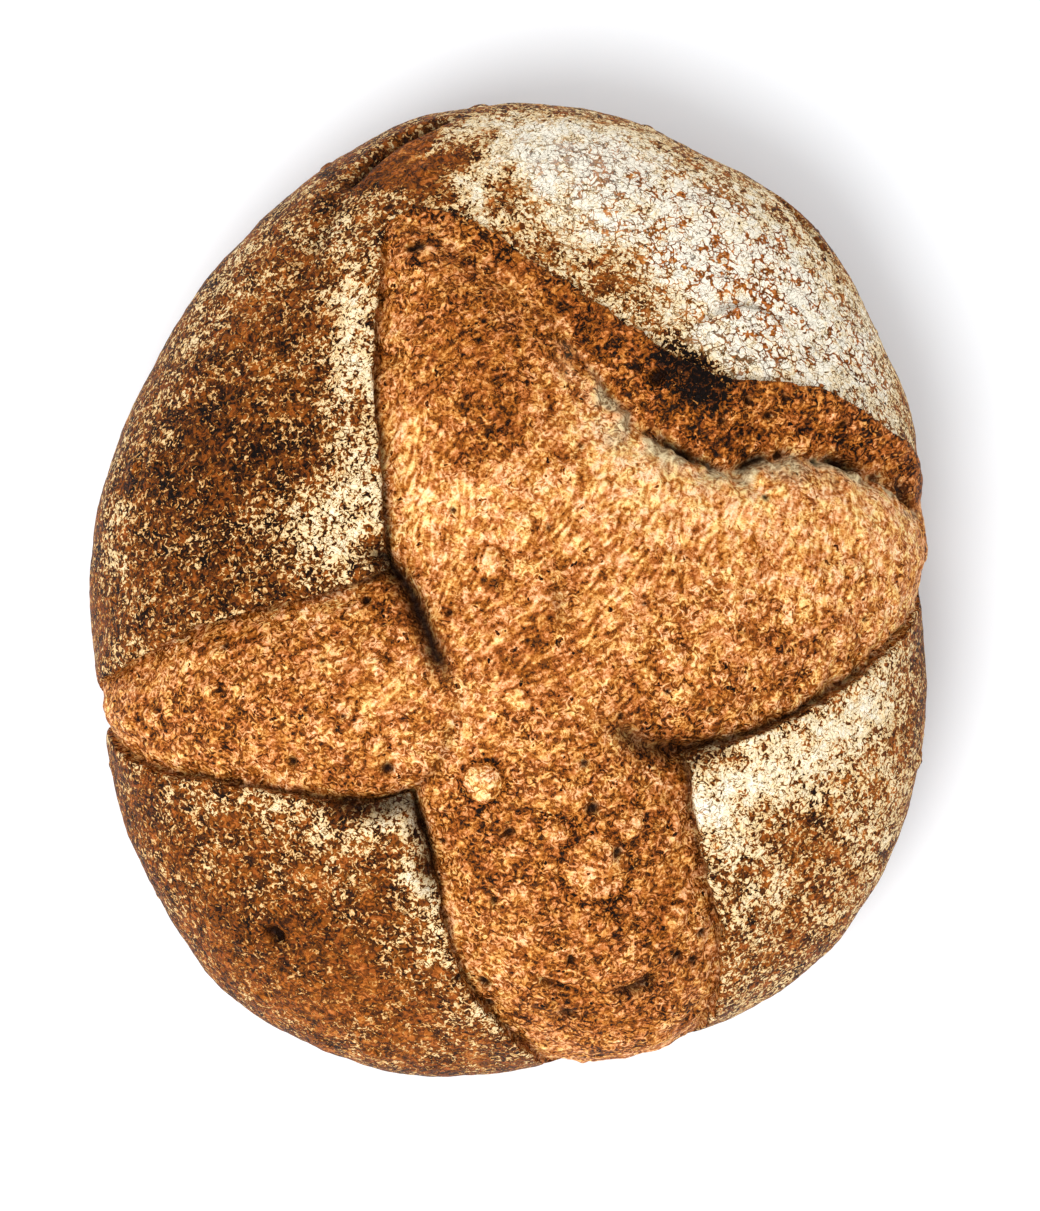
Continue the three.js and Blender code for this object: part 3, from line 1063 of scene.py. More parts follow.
@dataclass
class Crust:
    """The scored skin's relief, browning and flour from the oven, and the painted shade in its pores,
    pits and creases.

    Bake values run from 0 for pale gold to 1 for black, and also carry painted shade around
    blisters and beside one crease. Flour values run from 0 for none to 1 for a white coat. Rises,
    depths, reaches and sizes are millimetres. A pair is a usual value, and how strongly the
    crease's depth or the noise changes it.
    """

    scoring: Scoring
    stretch: Stretch
    bubbles: Bubbles
    swell_rise: float = 1.3
    swell_size: float = 46.0
    waves: tuple[Wave, ...] = (
        Wave(Seed.LUMPS, 17.0, 0.45, 0.8),
        Wave(Seed.BUMPS, 6.5, 0.16, 0.34),
        Wave(Seed.GRIT, 2.4, 0.10, 0.12),
    )
    strand_rise: float = 0.28
    ragged_rise: float = 0.7
    ragged_size: float = 2.2
    ragged_reach: float = 4.0
    fold_reach: float = 12.0
    fold_black: float = 2.0
    fold_shade_width: float = 1.2
    crease_start: float = 0.8
    crease_black: float = 3.5
    crease_width: tuple[float, float] = (0.35, 0.2)
    crease_shift: float = 0.7
    crease_wall: float = 0.4
    crease_shade: float = 0.85
    hole_size: float = 6.0
    hole_contrast: float = 3.0
    hole_reach: float = 1.4
    hole_start: float = 0.2
    torn_shift: float = 2.0
    torn_reach: float = 3.4
    torn_depth: float = 3.0
    torn_end: float = 9.0
    torn_change: tuple[float, float] = (0.6, 1.3)
    torn_size: float = 7.0
    torn_most: float = 0.9
    flap_bake: float = 0.79
    band_bake: float = 0.70
    band_foot_paler: float = 0.34
    band_foot: float = 2.4
    bloom_bake: float = 0.44
    bake_change: float = 0.06
    bake_size: float = 16.0
    low_bake: float = 0.6
    low_reach: float = 20.0
    most_bake: float = 1.1
    dusting: float = 0.25
    edge_dusting: float = 0.08
    edge_reach: float = 1.8
    dusting_change: float = 0.10
    dusting_size: float = 12.0
    most_flour: float = 1.2

    @property
    def skin(self) -> SkinMap:
        """The map that the fields are worked out on."""
        return self.scoring.skin

    @property
    def looks(self) -> dict[str, Array]:
        """The fields that the crust's material reads, by the names that it reads them by."""
        return {
            "bake_and_shade": self.bake_and_shade, "drawn": self.stretch.drawn, "flour": self.flour,
            "crackle": self.crackle, "torn": self.torn, "painted_shade": self.painted_shade,
        }

    @cached_property
    def folds(self) -> tuple[Array, Array]:
        """How far the folds sink the skin, and how strongly painted shade darkens them.

        Returns:
            The depth in each cell, mm, and the painted shade from 0 to 1.
        """
        sunk, shade_strength = np.zeros_like(self.skin.grid[0]), np.zeros_like(self.skin.grid[0])
        for fold in FOLDS:
            path = self.scoring.on_map(fold.points)
            gap, depth = self.skin.distance(path, *self.scoring.shaken, self.fold_reach)
            sunk += depth * np.exp(-(gap / fold.width) ** 2)
            # Painted shade along each fold, strongest where the fold is deep.
            bell = np.exp(-(gap / fold.width / self.fold_shade_width) ** 2)
            shade_strength = np.maximum(shade_strength, fold.shade_strength * np.clip(depth / self.fold_black, 0, 1) * bell)
        return sunk, shade_strength

    @cached_property
    def relief(self) -> Array:
        """How far the baked skin stands out from the plain dome, mm.

        Returns:
            The rise of each cell, mm.
        """
        x, y = self.skin.grid
        bloom = 1 - self.scoring.on_flap
        lumps = self.swell_rise * Noise(Seed.SWELLS).wave(x, y, self.swell_size)
        for wave in self.waves:
            height = mix(wave.on_flap, wave.in_bloom, bloom)
            lumps = lumps + height * Noise(wave.seed).wave(x, y, wave.size)
        lumps += self.strand_rise * bloom * (1 - self.scoring.on_band) * self.stretch.strands
        ragged = self.scoring.torn_open * np.exp(-(self.scoring.tear[0] / self.ragged_reach) ** 2)
        lumps += self.ragged_rise * ragged * Noise(Seed.RAGGED).layered(x, y, self.ragged_size, 2)
        lumps = lumps + self.bubbles.relief - self.folds[0]
        return self.scoring.rise + self.scoring.strength * lumps

    @cached_property
    def painted_shade(self) -> Array:
        """Painted shade: 1 in pores, pits, deep creases and holes along the tear, where shade falls, and 0
        on open skin.

        Returns:
            The share of painted shade in each cell.
        """
        edge, depth = self.scoring.bloom
        width = self.crease_width[0] + self.crease_width[1] * depth
        crease = np.clip((depth - self.crease_start) / self.crease_black, 0, 1)
        crease = crease * np.exp(-((edge + self.crease_shift * width) / width) ** 2)
        crease *= edge < self.crease_wall
        gap, tear_depth = self.scoring.tear
        noise = Noise(Seed.HOLES).layered(*self.skin.grid, self.hole_size)
        opened = np.clip(tear_depth / self.scoring.torn_depth - self.hole_start, 0, 1)
        holes = smooth(self.hole_contrast * noise)
        holes *= opened * np.exp(-(gap / self.hole_reach) ** 2)
        # Pores, folds, creases along the bloom's edge and holes along the tear all get painted shade.
        shaded_places = self.bubbles.pits, self.folds[1], self.crease_shade * crease, holes
        return np.clip(np.maximum.reduce(shaded_places), 0, 1)

    @cached_property
    def torn(self) -> Array:
        """1 on the torn crumb along the tear, which is grey-cream and never browned.

        Returns:
            The share of torn crumb in each cell.
        """
        gap, depth = self.scoring.tear
        seam, _ = self.scoring.pillow
        lip = np.exp(-((seam + self.torn_shift) / self.torn_reach) ** 2)
        lip = lip * np.clip(depth / self.torn_depth, 0, 1) * (gap < self.torn_end)
        lip += self.skin.paint(TORN_PLACES)
        noise = Noise(Seed.TORN).layered(*self.skin.grid, self.torn_size)
        changing = self.torn_change[0] + self.torn_change[1] * noise
        return np.clip(lip * changing, 0, self.torn_most) * (1 - self.scoring.on_band)

    @cached_property
    def bake_and_shade(self) -> Array:
        """How brown the crust is, from 0 for pale gold to 1 for black, with painted shade in the dark
        rings around blisters and in one patch beside a crease.

        The band pales towards its foot at the tear, and the skin below the belly is evenly brown.

        Returns:
            The bake-and-shade value of each cell.
        """
        on_flap = self.scoring.on_flap
        flap = self.flap_bake + self.skin.paint(FLAP_BAKE)
        band = self.band_bake + self.skin.paint(BAND_BAKE)
        band -= self.band_foot_paler * np.exp(-(self.scoring.pillow[0] / self.band_foot) ** 2)
        bloom = self.bloom_bake + self.skin.paint(BLOOM_BAKE_AND_SHADE)
        # Blisters add their paler middles and their rings of painted shade.
        opened = mix(bloom, band, self.scoring.on_band) + self.bubbles.rings * (1 - on_flap)
        below = smooth((self.skin.length - self.skin.dome.belly_length) / self.low_reach)
        noise = Noise(Seed.BAKE).layered(*self.skin.grid, self.bake_size)
        colour = mix(opened, flap, on_flap) + self.bake_change * noise
        return np.clip(mix(colour, np.maximum(colour, self.low_bake), below), 0, self.most_bake)

    @cached_property
    def flour(self) -> Array:
        """How thickly the flour lies, from 0 for none to 1 for a white coat.

        Returns:
            The flour value of each cell.
        """
        edge = self.scoring.bloom[0]
        flap = self.dusting + self.skin.paint(FLAP_FLOUR)
        flap += self.edge_dusting * np.exp(-(np.maximum(edge, 0) / self.edge_reach) ** 2)
        flap += self.dusting_change * Noise(Seed.FLOUR).layered(*self.skin.grid, self.dusting_size)
        bloom = self.skin.paint(BLOOM_FLOUR)
        return np.clip(mix(bloom, flap, self.scoring.on_flap), 0, self.most_flour)

    @cached_property
    def crackle(self) -> Array:
        """How far the flour coat has cracked into islands."""
        return np.clip(self.skin.paint(CRACKLED), 0, 1)


# ---------------------------------------------------------------------------------------------
# Finishes
# ---------------------------------------------------------------------------------------------

def add_node(tree: Tree, kind: str, inputs: dict[str | int, Any] | None = None,
             **settings: Any) -> bpy.types.Node:
    """Adds a node with its settings and links.

    Args:
        tree: the tree that gets the node.
        kind: the node's type, such as "ShaderNodeMath".
        inputs: input name or number, to a value or to the socket that feeds it.
        settings: the node's own properties.

    Returns:
        The node.
    """
    node = tree.nodes.new(kind)
    for name, value in settings.items():
        setattr(node, name, value)
    for name, value in (inputs or {}).items():
        if isinstance(value, Socket):
            tree.links.new(value, node.inputs[name])
        else:
            node.inputs[name].default_value = value
    return node


@dataclass(frozen=True)
class BakedCrust:
    """Baked sourdough crust under a dusting of rye and wheat flour.

    The crust is starch and sugar browned by the oven: a thin, hard, faintly glossy skin over crumb,
    golden where it opened last and nearly black where it stood proud. Its look comes from grains
    and strands about 1 mm wide, each with a darker outline, and from dry flour that scatters light
    evenly. The grains' light and dark tones are partly the crust's own colour and partly painted
    shade and highlight of their tiny relief, and pores, pits and creases get painted shade. Single
    flour grains are far too fine to show, so the dusting is drawn as the crumbs of about 1 mm that
    they clump into.

    Sizes, widths of strands, steps, spacings, bends and the grain's depth are millimetres. Ends are
    the values of noise or distance between which a pattern fades in.
    """

    name: str = "baked_crust"
    strand_width: float = 1.2
    strand_step: float = 0.6
    grain_size: float = 1.9
    outline_size: float = 2.6
    speckle_size: float = 0.9
    mottle_size: float = 5.0
    hue_size: float = 3.2
    hue_ends: tuple[float, float] = (0.4, 0.6)
    pore_spacing: float = 6.5
    crumb_size: float = 1.35
    clump_size: float = 4.5
    island_size: float = 3.0
    crack_size: float = 5.0
    bends: tuple[tuple[float, float], ...] = ((2.6, 3.6), (0.9, 1.3))
    strand_taps: int = 2
    strand_ends: tuple[float, float] = (0.40, 0.60)
    grain_ends: tuple[float, float] = (0.36, 0.62)
    outline_width: float = 0.035
    hole_ends: tuple[float, float] = (0.135, 0.095)
    hole_darkness: float = 0.5
    lip_ends: tuple[float, float] = (0.22, 0.14)
    lip_paleness: float = 0.16
    grain_weight: float = 0.50
    outline_weight: float = 0.22
    speckle_weight: float = 0.60
    plain_tone: float = 0.74
    contrasts: tuple[float, float] = (0.50, 1.1)
    least_drawn: float = 0.1
    mottling: float = 0.7
    clumping: tuple[float, float] = (1.5, 0.2)
    crumbling: float = 0.9
    crack_closing: float = 0.43
    crack_ends: tuple[float, float] = (-0.20, -0.12)
    crumb_weight: float = 1.5
    coat_ends: tuple[float, float] = (1.09, 1.25)
    line_cover: float = 0.18
    toasting: float = 0.5
    grain_depth: float = 0.5
    bump_strength: float = 0.8
    crust_roughness: float = 0.55
    flour_roughness: float = 0.95
    gloss: float = 0.08
    refraction: float = 1.45
    colours: tuple[tuple[float, str], ...] = (
        (0.00, "#ffe2ac"), (0.15, "#f8c68a"), (0.30, "#e09f62"), (0.45, "#bf7434"), (0.60, "#914c14"),
        (0.74, "#6a370c"), (0.88, "#361905"), (1.00, "#0c0402"),
    )
    flours: tuple[tuple[float, str], ...] = (
        (0.00, "#955a24"), (0.30, "#c98d48"), (0.50, "#efcf98"), (0.75, "#fbe8c3"), (1.00, "#fff6e2"),
    )
    tints: tuple[str, str] = ("#fff6ff", "#ffffe2")
    torn_crumb: tuple[str, str] = ("#745632", "#ecd9ac")
    # Near-black brown of the painted shade in pores, pits, creases and holes along the tear.
    painted_shade_colour: str = "#190903"

    def build(self) -> bpy.types.Material:
        """Makes the material.

        Returns:
            The material.
        """
        material = bpy.data.materials.new(self.name)
        material.use_nodes = True
        tree = material.node_tree
        tree.nodes.clear()
        place = add_node(tree, "ShaderNodeTexCoord").outputs["Object"]
        place = {0: place, "Scale": 1 / MM}
        place = add_node(tree, "ShaderNodeVectorMath", place, operation="SCALE").outputs[0]
        bent = self.bend(tree, place)
        grain = self.grain(tree, place)
        outline = self.outline(tree, place)
        crust = self.crust(tree, place, grain, outline, self.pores(tree, bent))
        crumbs = {"Vector": place, "Scale": 1 / self.crumb_size, "Detail": 1.6, "Roughness": 0.6}
        crumbs["Distortion"] = 1.0
        crumbs = add_node(tree, "ShaderNodeTexNoise", crumbs).outputs["Fac"]
        thickness = self.thickness(tree, place, crumbs)
        coat = self.coat(tree, crumbs, thickness, self.islands(tree, place, bent), outline)
        toasted = {0: coat, 1: self.toasting, 2: thickness}
        toasted = add_node(tree, "ShaderNodeMath", toasted, operation="MULTIPLY_ADD").outputs[0]
        toasted = {0: toasted, 1: self.toasting}
        toasted = add_node(tree, "ShaderNodeMath", toasted, operation="SUBTRACT").outputs[0]
        ramp = add_node(tree, "ShaderNodeValToRGB", {"Fac": toasted})
        self.fill_ramp(ramp.color_ramp, self.flours)
        powder = ramp.outputs["Color"]
        dusted = {"Factor": coat, 6: crust, 7: powder}
        dusted = add_node(tree, "ShaderNodeMix", dusted, data_type="RGBA").outputs[2]
        # Painted shade: the colour turns near-black in pores, pits, creases and holes along the tear.
        painted_shade = add_node(tree, "ShaderNodeAttribute", attribute_name="painted_shade").outputs["Fac"]
        shaded = {"Factor": painted_shade, 6: dusted, 7: linear(self.painted_shade_colour)}
        shaded = add_node(tree, "ShaderNodeMix", shaded, data_type="RGBA").outputs[2]
        bump = {"Height": grain, "Strength": self.bump_strength, "Distance": self.grain_depth * MM}
        bump = add_node(tree, "ShaderNodeBump", bump).outputs[0]
        rough = {0: coat, 2: self.crust_roughness, 3: self.flour_roughness}
        rough = add_node(tree, "ShaderNodeMix", rough, data_type="FLOAT").outputs[0]
        shader = add_node(tree, "ShaderNodeBsdfPrincipled", {
            "Base Color": shaded, "Roughness": rough, "Normal": bump, "IOR": self.refraction,
            "Specular IOR Level": self.gloss,
        })
        add_node(tree, "ShaderNodeOutputMaterial", {"Surface": shader.outputs[0]})
        return material

    def bend(self, tree: Tree, place: Socket) -> Socket:
        """Places moved by noise, once in long steps and once in short ones, so that cells turn ragged.

        Args:
            tree: the tree that gets the nodes.
            place: the socket with Object coordinates in millimetres.

        Returns:
            The socket with the moved places.
        """
        bent = place
        for size, reach in self.bends:
            shift = {"Vector": place, "Scale": 1 / size, "Detail": 0.0}
            shift = add_node(tree, "ShaderNodeTexNoise", shift).outputs["Color"]
            shift = {0: shift, 1: (reach,) * 3, 2: bent}
            bent = add_node(tree, "ShaderNodeVectorMath", shift, operation="MULTIPLY_ADD").outputs[0]
        return bent

    def grain(self, tree: Tree, place: Socket) -> Socket:
        """The crust's grain, from 0 between the grains to 1 on them.

        On the flaps and on part of the bloom the grain is round. Elsewhere it is drawn out into
        strands: noise, averaged over a few places along the way that the dough stretched.

        Args:
            tree: the tree that gets the nodes.
            place: the socket with Object coordinates in millimetres.

        Returns:
            The socket with the grain.
        """
        flow = add_node(tree, "ShaderNodeAttribute", attribute_name="flow").outputs["Vector"]
        total = 0.0
        taps = range(-self.strand_taps, self.strand_taps + 1)
        for tap in taps:
            step = {0: flow, 1: (tap * self.strand_step,) * 3, 2: place}
            moved = add_node(tree, "ShaderNodeVectorMath", step, operation="MULTIPLY_ADD").outputs[0]
            fine = {"Vector": moved, "Scale": 1 / self.strand_width, "Detail": 1.0}
            fine = add_node(tree, "ShaderNodeTexNoise", fine).outputs["Fac"]
            total = add_node(tree, "ShaderNodeMath", {0: fine, 1: total}, operation="ADD").outputs[0]
        least, most = (len(taps) * end for end in self.strand_ends)
        strands = {"Value": total, "From Min": least, "From Max": most}
        strands = add_node(tree, "ShaderNodeMapRange", strands, interpolation_type="SMOOTHSTEP").outputs[0]
        fine = {"Vector": place, "Scale": 1 / self.grain_size, "Detail": 2.0, "Distortion": 1.6}
        fine = add_node(tree, "ShaderNodeTexNoise", fine).outputs["Fac"]
        grains = {"Value": fine, "From Min": self.grain_ends[0], "From Max": self.grain_ends[1]}
        grains = add_node(tree, "ShaderNodeMapRange", grains, interpolation_type="SMOOTHSTEP").outputs[0]
        drawn = add_node(tree, "ShaderNodeAttribute", attribute_name="drawn").outputs["Fac"]
        mixed = {0: drawn, 2: grains, 3: strands}
        return add_node(tree, "ShaderNodeMix", mixed, data_type="FLOAT").outputs[0]

    def outline(self, tree: Tree, place: Socket) -> Socket:
        """0 on thin wandering lines, which run where noise passes its middle value, and 1 elsewhere.

        Args:
            tree: the tree that gets the nodes.
            place: the socket with Object coordinates in millimetres.

        Returns:
            The socket with the lines.
        """
        noise = {"Vector": place, "Scale": 1 / self.outline_size, "Detail": 1.5, "Distortion": 1.5}
        noise = add_node(tree, "ShaderNodeTexNoise", noise).outputs["Fac"]
        away = add_node(tree, "ShaderNodeMath", {0: noise, 1: 0.5}, operation="SUBTRACT").outputs[0]
        away = add_node(tree, "ShaderNodeMath", {0: away}, operation="ABSOLUTE").outputs[0]
        beyond = {"Value": away, "From Max": self.outline_width}
        return add_node(tree, "ShaderNodeMapRange", beyond, interpolation_type="SMOOTHSTEP").outputs[0]

    def pores(self, tree: Tree, bent: Socket) -> Socket:
        """How much painted shade darkens the pores, the small round holes of burst bubbles, and how much
        paler their lip is.

        Args:
            tree: the tree that gets the nodes.
            bent: the socket with the bent places.

        Returns:
            The socket with what the pores add to the tone.
        """
        away = {"Vector": bent, "Scale": 1 / self.pore_spacing}
        away = add_node(tree, "ShaderNodeTexVoronoi", away).outputs["Distance"]
        total = 0.0
        for ends, change in ((self.hole_ends, self.hole_darkness), (self.lip_ends, -self.lip_paleness)):
            part = {"Value": away, "From Min": ends[0], "From Max": ends[1], "To Max": change}
            part = add_node(tree, "ShaderNodeMapRange", part, interpolation_type="SMOOTHSTEP").outputs[0]
            total = add_node(tree, "ShaderNodeMath", {0: part, 1: total}, operation="ADD").outputs[0]
        return total

    def crust(self, tree: Tree, place: Socket, grain: Socket, outline: Socket, pores: Socket) -> Socket:
        """The bare crust's colour: how far it baked, shifted by its grain, darkened by painted shade in its
        pores, and cream where it tore.

        The grain's light and dark, partly the crust's own colour and partly painted shade and highlight of
        its tiny relief, show fully on the opened crumb and faintly on the smooth skin of the flaps.

        Args:
            tree: the tree that gets the nodes.
            place: the socket with Object coordinates in millimetres.
            grain: the socket with the grain.
            outline: the socket with the thin lines.
            pores: the socket with the pores' painted shade and their paler lips.

        Returns:
            The socket with the colour.
        """
        speckle = {"Vector": place, "Scale": 1 / self.speckle_size, "Detail": 2.0, "Roughness": 0.6}
        speckle = add_node(tree, "ShaderNodeTexNoise", speckle).outputs["Fac"]
        # Grain, outlines and speckles darken or lighten the tone: partly the crust's own colour, partly
        # painted shade and highlight of its tiny relief.
        fine = pores
        weights = (grain, self.grain_weight), (outline, self.outline_weight), (speckle, self.speckle_weight)
        for part, weight in weights:
            fine = {0: part, 1: -weight, 2: fine}
            fine = add_node(tree, "ShaderNodeMath", fine, operation="MULTIPLY_ADD").outputs[0]
        fine = add_node(tree, "ShaderNodeMath", {0: fine, 1: self.plain_tone}, operation="ADD").outputs[0]
        drawn = add_node(tree, "ShaderNodeAttribute", attribute_name="drawn").outputs["Fac"]
        contrast = {"Value": drawn, "From Min": 0.0, "From Max": self.least_drawn}
        contrast["To Min"], contrast["To Max"] = self.contrasts
        contrast = add_node(tree, "ShaderNodeMapRange", contrast).outputs[0]
        tone = add_node(tree, "ShaderNodeAttribute", attribute_name="bake_and_shade").outputs["Fac"]
        tone = {0: fine, 1: contrast, 2: tone}
        tone = add_node(tree, "ShaderNodeMath", tone, operation="MULTIPLY_ADD").outputs[0]
        mottle = {"Vector": place, "Scale": 1 / self.mottle_size, "Detail": 3.0, "Roughness": 0.6}
        mottle = add_node(tree, "ShaderNodeTexNoise", mottle).outputs["Fac"]
        tone = {0: mottle, 1: -self.mottling, 2: tone}
        tone = add_node(tree, "ShaderNodeMath", tone, operation="MULTIPLY_ADD").outputs[0]
        tone = add_node(tree, "ShaderNodeMath", {0: tone, 1: self.mottling / 2}, operation="ADD").outputs[0]
        ramp = add_node(tree, "ShaderNodeValToRGB", {"Fac": tone})
        self.fill_ramp(ramp.color_ramp, self.colours)
        hue = {"Vector": place, "Scale": 1 / self.hue_size, "Detail": 2.0}
        hue = add_node(tree, "ShaderNodeTexNoise", hue).outputs["Fac"]
        hue = {"Value": hue, "From Min": self.hue_ends[0], "From Max": self.hue_ends[1]}
        hue = add_node(tree, "ShaderNodeMapRange", hue).outputs[0]
        tint = {"Factor": hue, 6: linear(self.tints[0]), 7: linear(self.tints[1])}
        tint = add_node(tree, "ShaderNodeMix", tint, data_type="RGBA").outputs[2]
        tinted = {"Factor": 1.0, 6: ramp.outputs["Color"], 7: tint}
        tinted = add_node(tree, "ShaderNodeMix", tinted, data_type="RGBA", blend_type="MULTIPLY").outputs[2]
        crumb = {"Factor": grain, 6: linear(self.torn_crumb[0]), 7: linear(self.torn_crumb[1])}
        crumb = add_node(tree, "ShaderNodeMix", crumb, data_type="RGBA").outputs[2]
        torn = add_node(tree, "ShaderNodeAttribute", attribute_name="torn").outputs["Fac"]
        torn = {"Factor": torn, 6: tinted, 7: crumb}
        return add_node(tree, "ShaderNodeMix", torn, data_type="RGBA").outputs[2]

    def thickness(self, tree: Tree, place: Socket, crumbs: Socket) -> Socket:
        """How thickly flour lies around each place, from 0 for a toasted trace to 1 for a white coat.

        Args:
            tree: the tree that gets the nodes.
            place: the socket with Object coordinates in millimetres.
            crumbs: the socket with the crumbs' noise.

        Returns:
            The socket with the thickness.
        """
        flour = add_node(tree, "ShaderNodeAttribute", attribute_name="flour").outputs["Fac"]
        clumps = {"Vector": place, "Scale": 1 / self.clump_size, "Detail": 3.0, "Roughness": 0.65}
        clumps["Distortion"] = 0.6
        clumps = add_node(tree, "ShaderNodeTexNoise", clumps).outputs["Fac"]
        clumps = add_node(tree, "ShaderNodeMath", {0: clumps, 1: 0.5}, operation="SUBTRACT").outputs[0]
        reach = {0: flour, 1: self.clumping[0], 2: self.clumping[1]}
        reach = add_node(tree, "ShaderNodeMath", reach, operation="MULTIPLY_ADD").outputs[0]
        flour = {0: clumps, 1: reach, 2: flour}
        flour = add_node(tree, "ShaderNodeMath", flour, operation="MULTIPLY_ADD").outputs[0]
        crumbs = add_node(tree, "ShaderNodeMath", {0: crumbs, 1: 0.5}, operation="SUBTRACT").outputs[0]
        total = {0: crumbs, 1: self.crumbling, 2: flour}
        return add_node(tree, "ShaderNodeMath", total, operation="MULTIPLY_ADD").outputs[0]

    def islands(self, tree: Tree, place: Socket, bent: Socket) -> Socket:
        """0 in the cracks of a thick coat and 1 on its islands.

        The cracks follow the borders of Voronoi cells at the bent places. They are wide or closed
        by turns.

        Args:
            tree: the tree that gets the nodes.
            place: the socket with Object coordinates in millimetres.
            bent: the socket with the bent places.

        Returns:
            The socket with the islands.
        """
        cells = {"Vector": bent, "Scale": 1 / self.island_size}
        cells = add_node(tree, "ShaderNodeTexVoronoi", cells, feature="DISTANCE_TO_EDGE").outputs[0]
        width = {"Vector": place, "Scale": 1 / self.crack_size, "Detail": 2.0}
        width = add_node(tree, "ShaderNodeTexNoise", width).outputs["Fac"]
        cells = {0: width, 1: -self.crack_closing, 2: cells}
        cells = add_node(tree, "ShaderNodeMath", cells, operation="MULTIPLY_ADD").outputs[0]
        cells = {"Value": cells, "From Min": self.crack_ends[0], "From Max": self.crack_ends[1]}
        return add_node(tree, "ShaderNodeMapRange", cells, interpolation_type="SMOOTHSTEP").outputs[0]

    def coat(self, tree: Tree, crumbs: Socket, thickness: Socket, islands: Socket,
             outline: Socket) -> Socket:
        """How well the flour covers the crust, from 0 for bare to 1 for covered.

        Flour stays on the crumbs that stand out from noise. Thin lines of crust show through it,
        and a thick coat has cracked into islands.

        Args:
            tree: the tree that gets the nodes.
            crumbs: the socket with the crumbs' noise.
            thickness: the socket with the flour's thickness.
            islands: the socket with the islands of a cracked coat.
            outline: the socket with the thin lines.

        Returns:
            The socket with the cover.
        """
        amount = {0: crumbs, 1: self.crumb_weight, 2: thickness}
        amount = add_node(tree, "ShaderNodeMath", amount, operation="MULTIPLY_ADD").outputs[0]
        coat = {"Value": amount, "From Min": self.coat_ends[0], "From Max": self.coat_ends[1]}
        coat = add_node(tree, "ShaderNodeMapRange", coat, interpolation_type="SMOOTHSTEP").outputs[0]
        crackle = add_node(tree, "ShaderNodeAttribute", attribute_name="crackle").outputs["Fac"]
        whole = {0: crackle, 2: 1.0, 3: islands}
        whole = add_node(tree, "ShaderNodeMix", whole, data_type="FLOAT").outputs[0]
        lines = {0: outline, 2: self.line_cover, 3: 1.0}
        lines = add_node(tree, "ShaderNodeMix", lines, data_type="FLOAT").outputs[0]
        for cover in (whole, lines):
            coat = add_node(tree, "ShaderNodeMath", {0: coat, 1: cover}, operation="MULTIPLY").outputs[0]
        return coat

    def fill_ramp(self, ramp: bpy.types.ColorRamp, stops: Sequence[tuple[float, str]]) -> None:
        """Sets a ramp's stops to the given places and colours.

        Args:
            ramp: the colour ramp, which has two stops or more.
            stops: place and hex colour of each stop.
        """
        while len(ramp.elements) < len(stops):
            ramp.elements.new(1.0)
        for element, (position, colour) in zip(ramp.elements, stops):
            element.position = position
            element.color = linear(colour)


@dataclass(frozen=True)
class PaperSweep:
    """Matte white background paper, which scatters light evenly and shows no grain."""

    name: str = "white_paper"
    colour: str = "#f8fafd"
    roughness: float = 0.9

    def build(self) -> bpy.types.Material:
        """Makes the material.

        Returns:
            The material.
        """
        material = bpy.data.materials.new(self.name)
        material.use_nodes = True
        tree = material.node_tree
        tree.nodes.clear()
        finish = {"Base Color": linear(self.colour), "Roughness": self.roughness}
        shader = add_node(tree, "ShaderNodeBsdfPrincipled", finish).outputs[0]
        add_node(tree, "ShaderNodeOutputMaterial", {"Surface": shader})
        return material


# ---------------------------------------------------------------------------------------------
# The loaf
# ---------------------------------------------------------------------------------------------

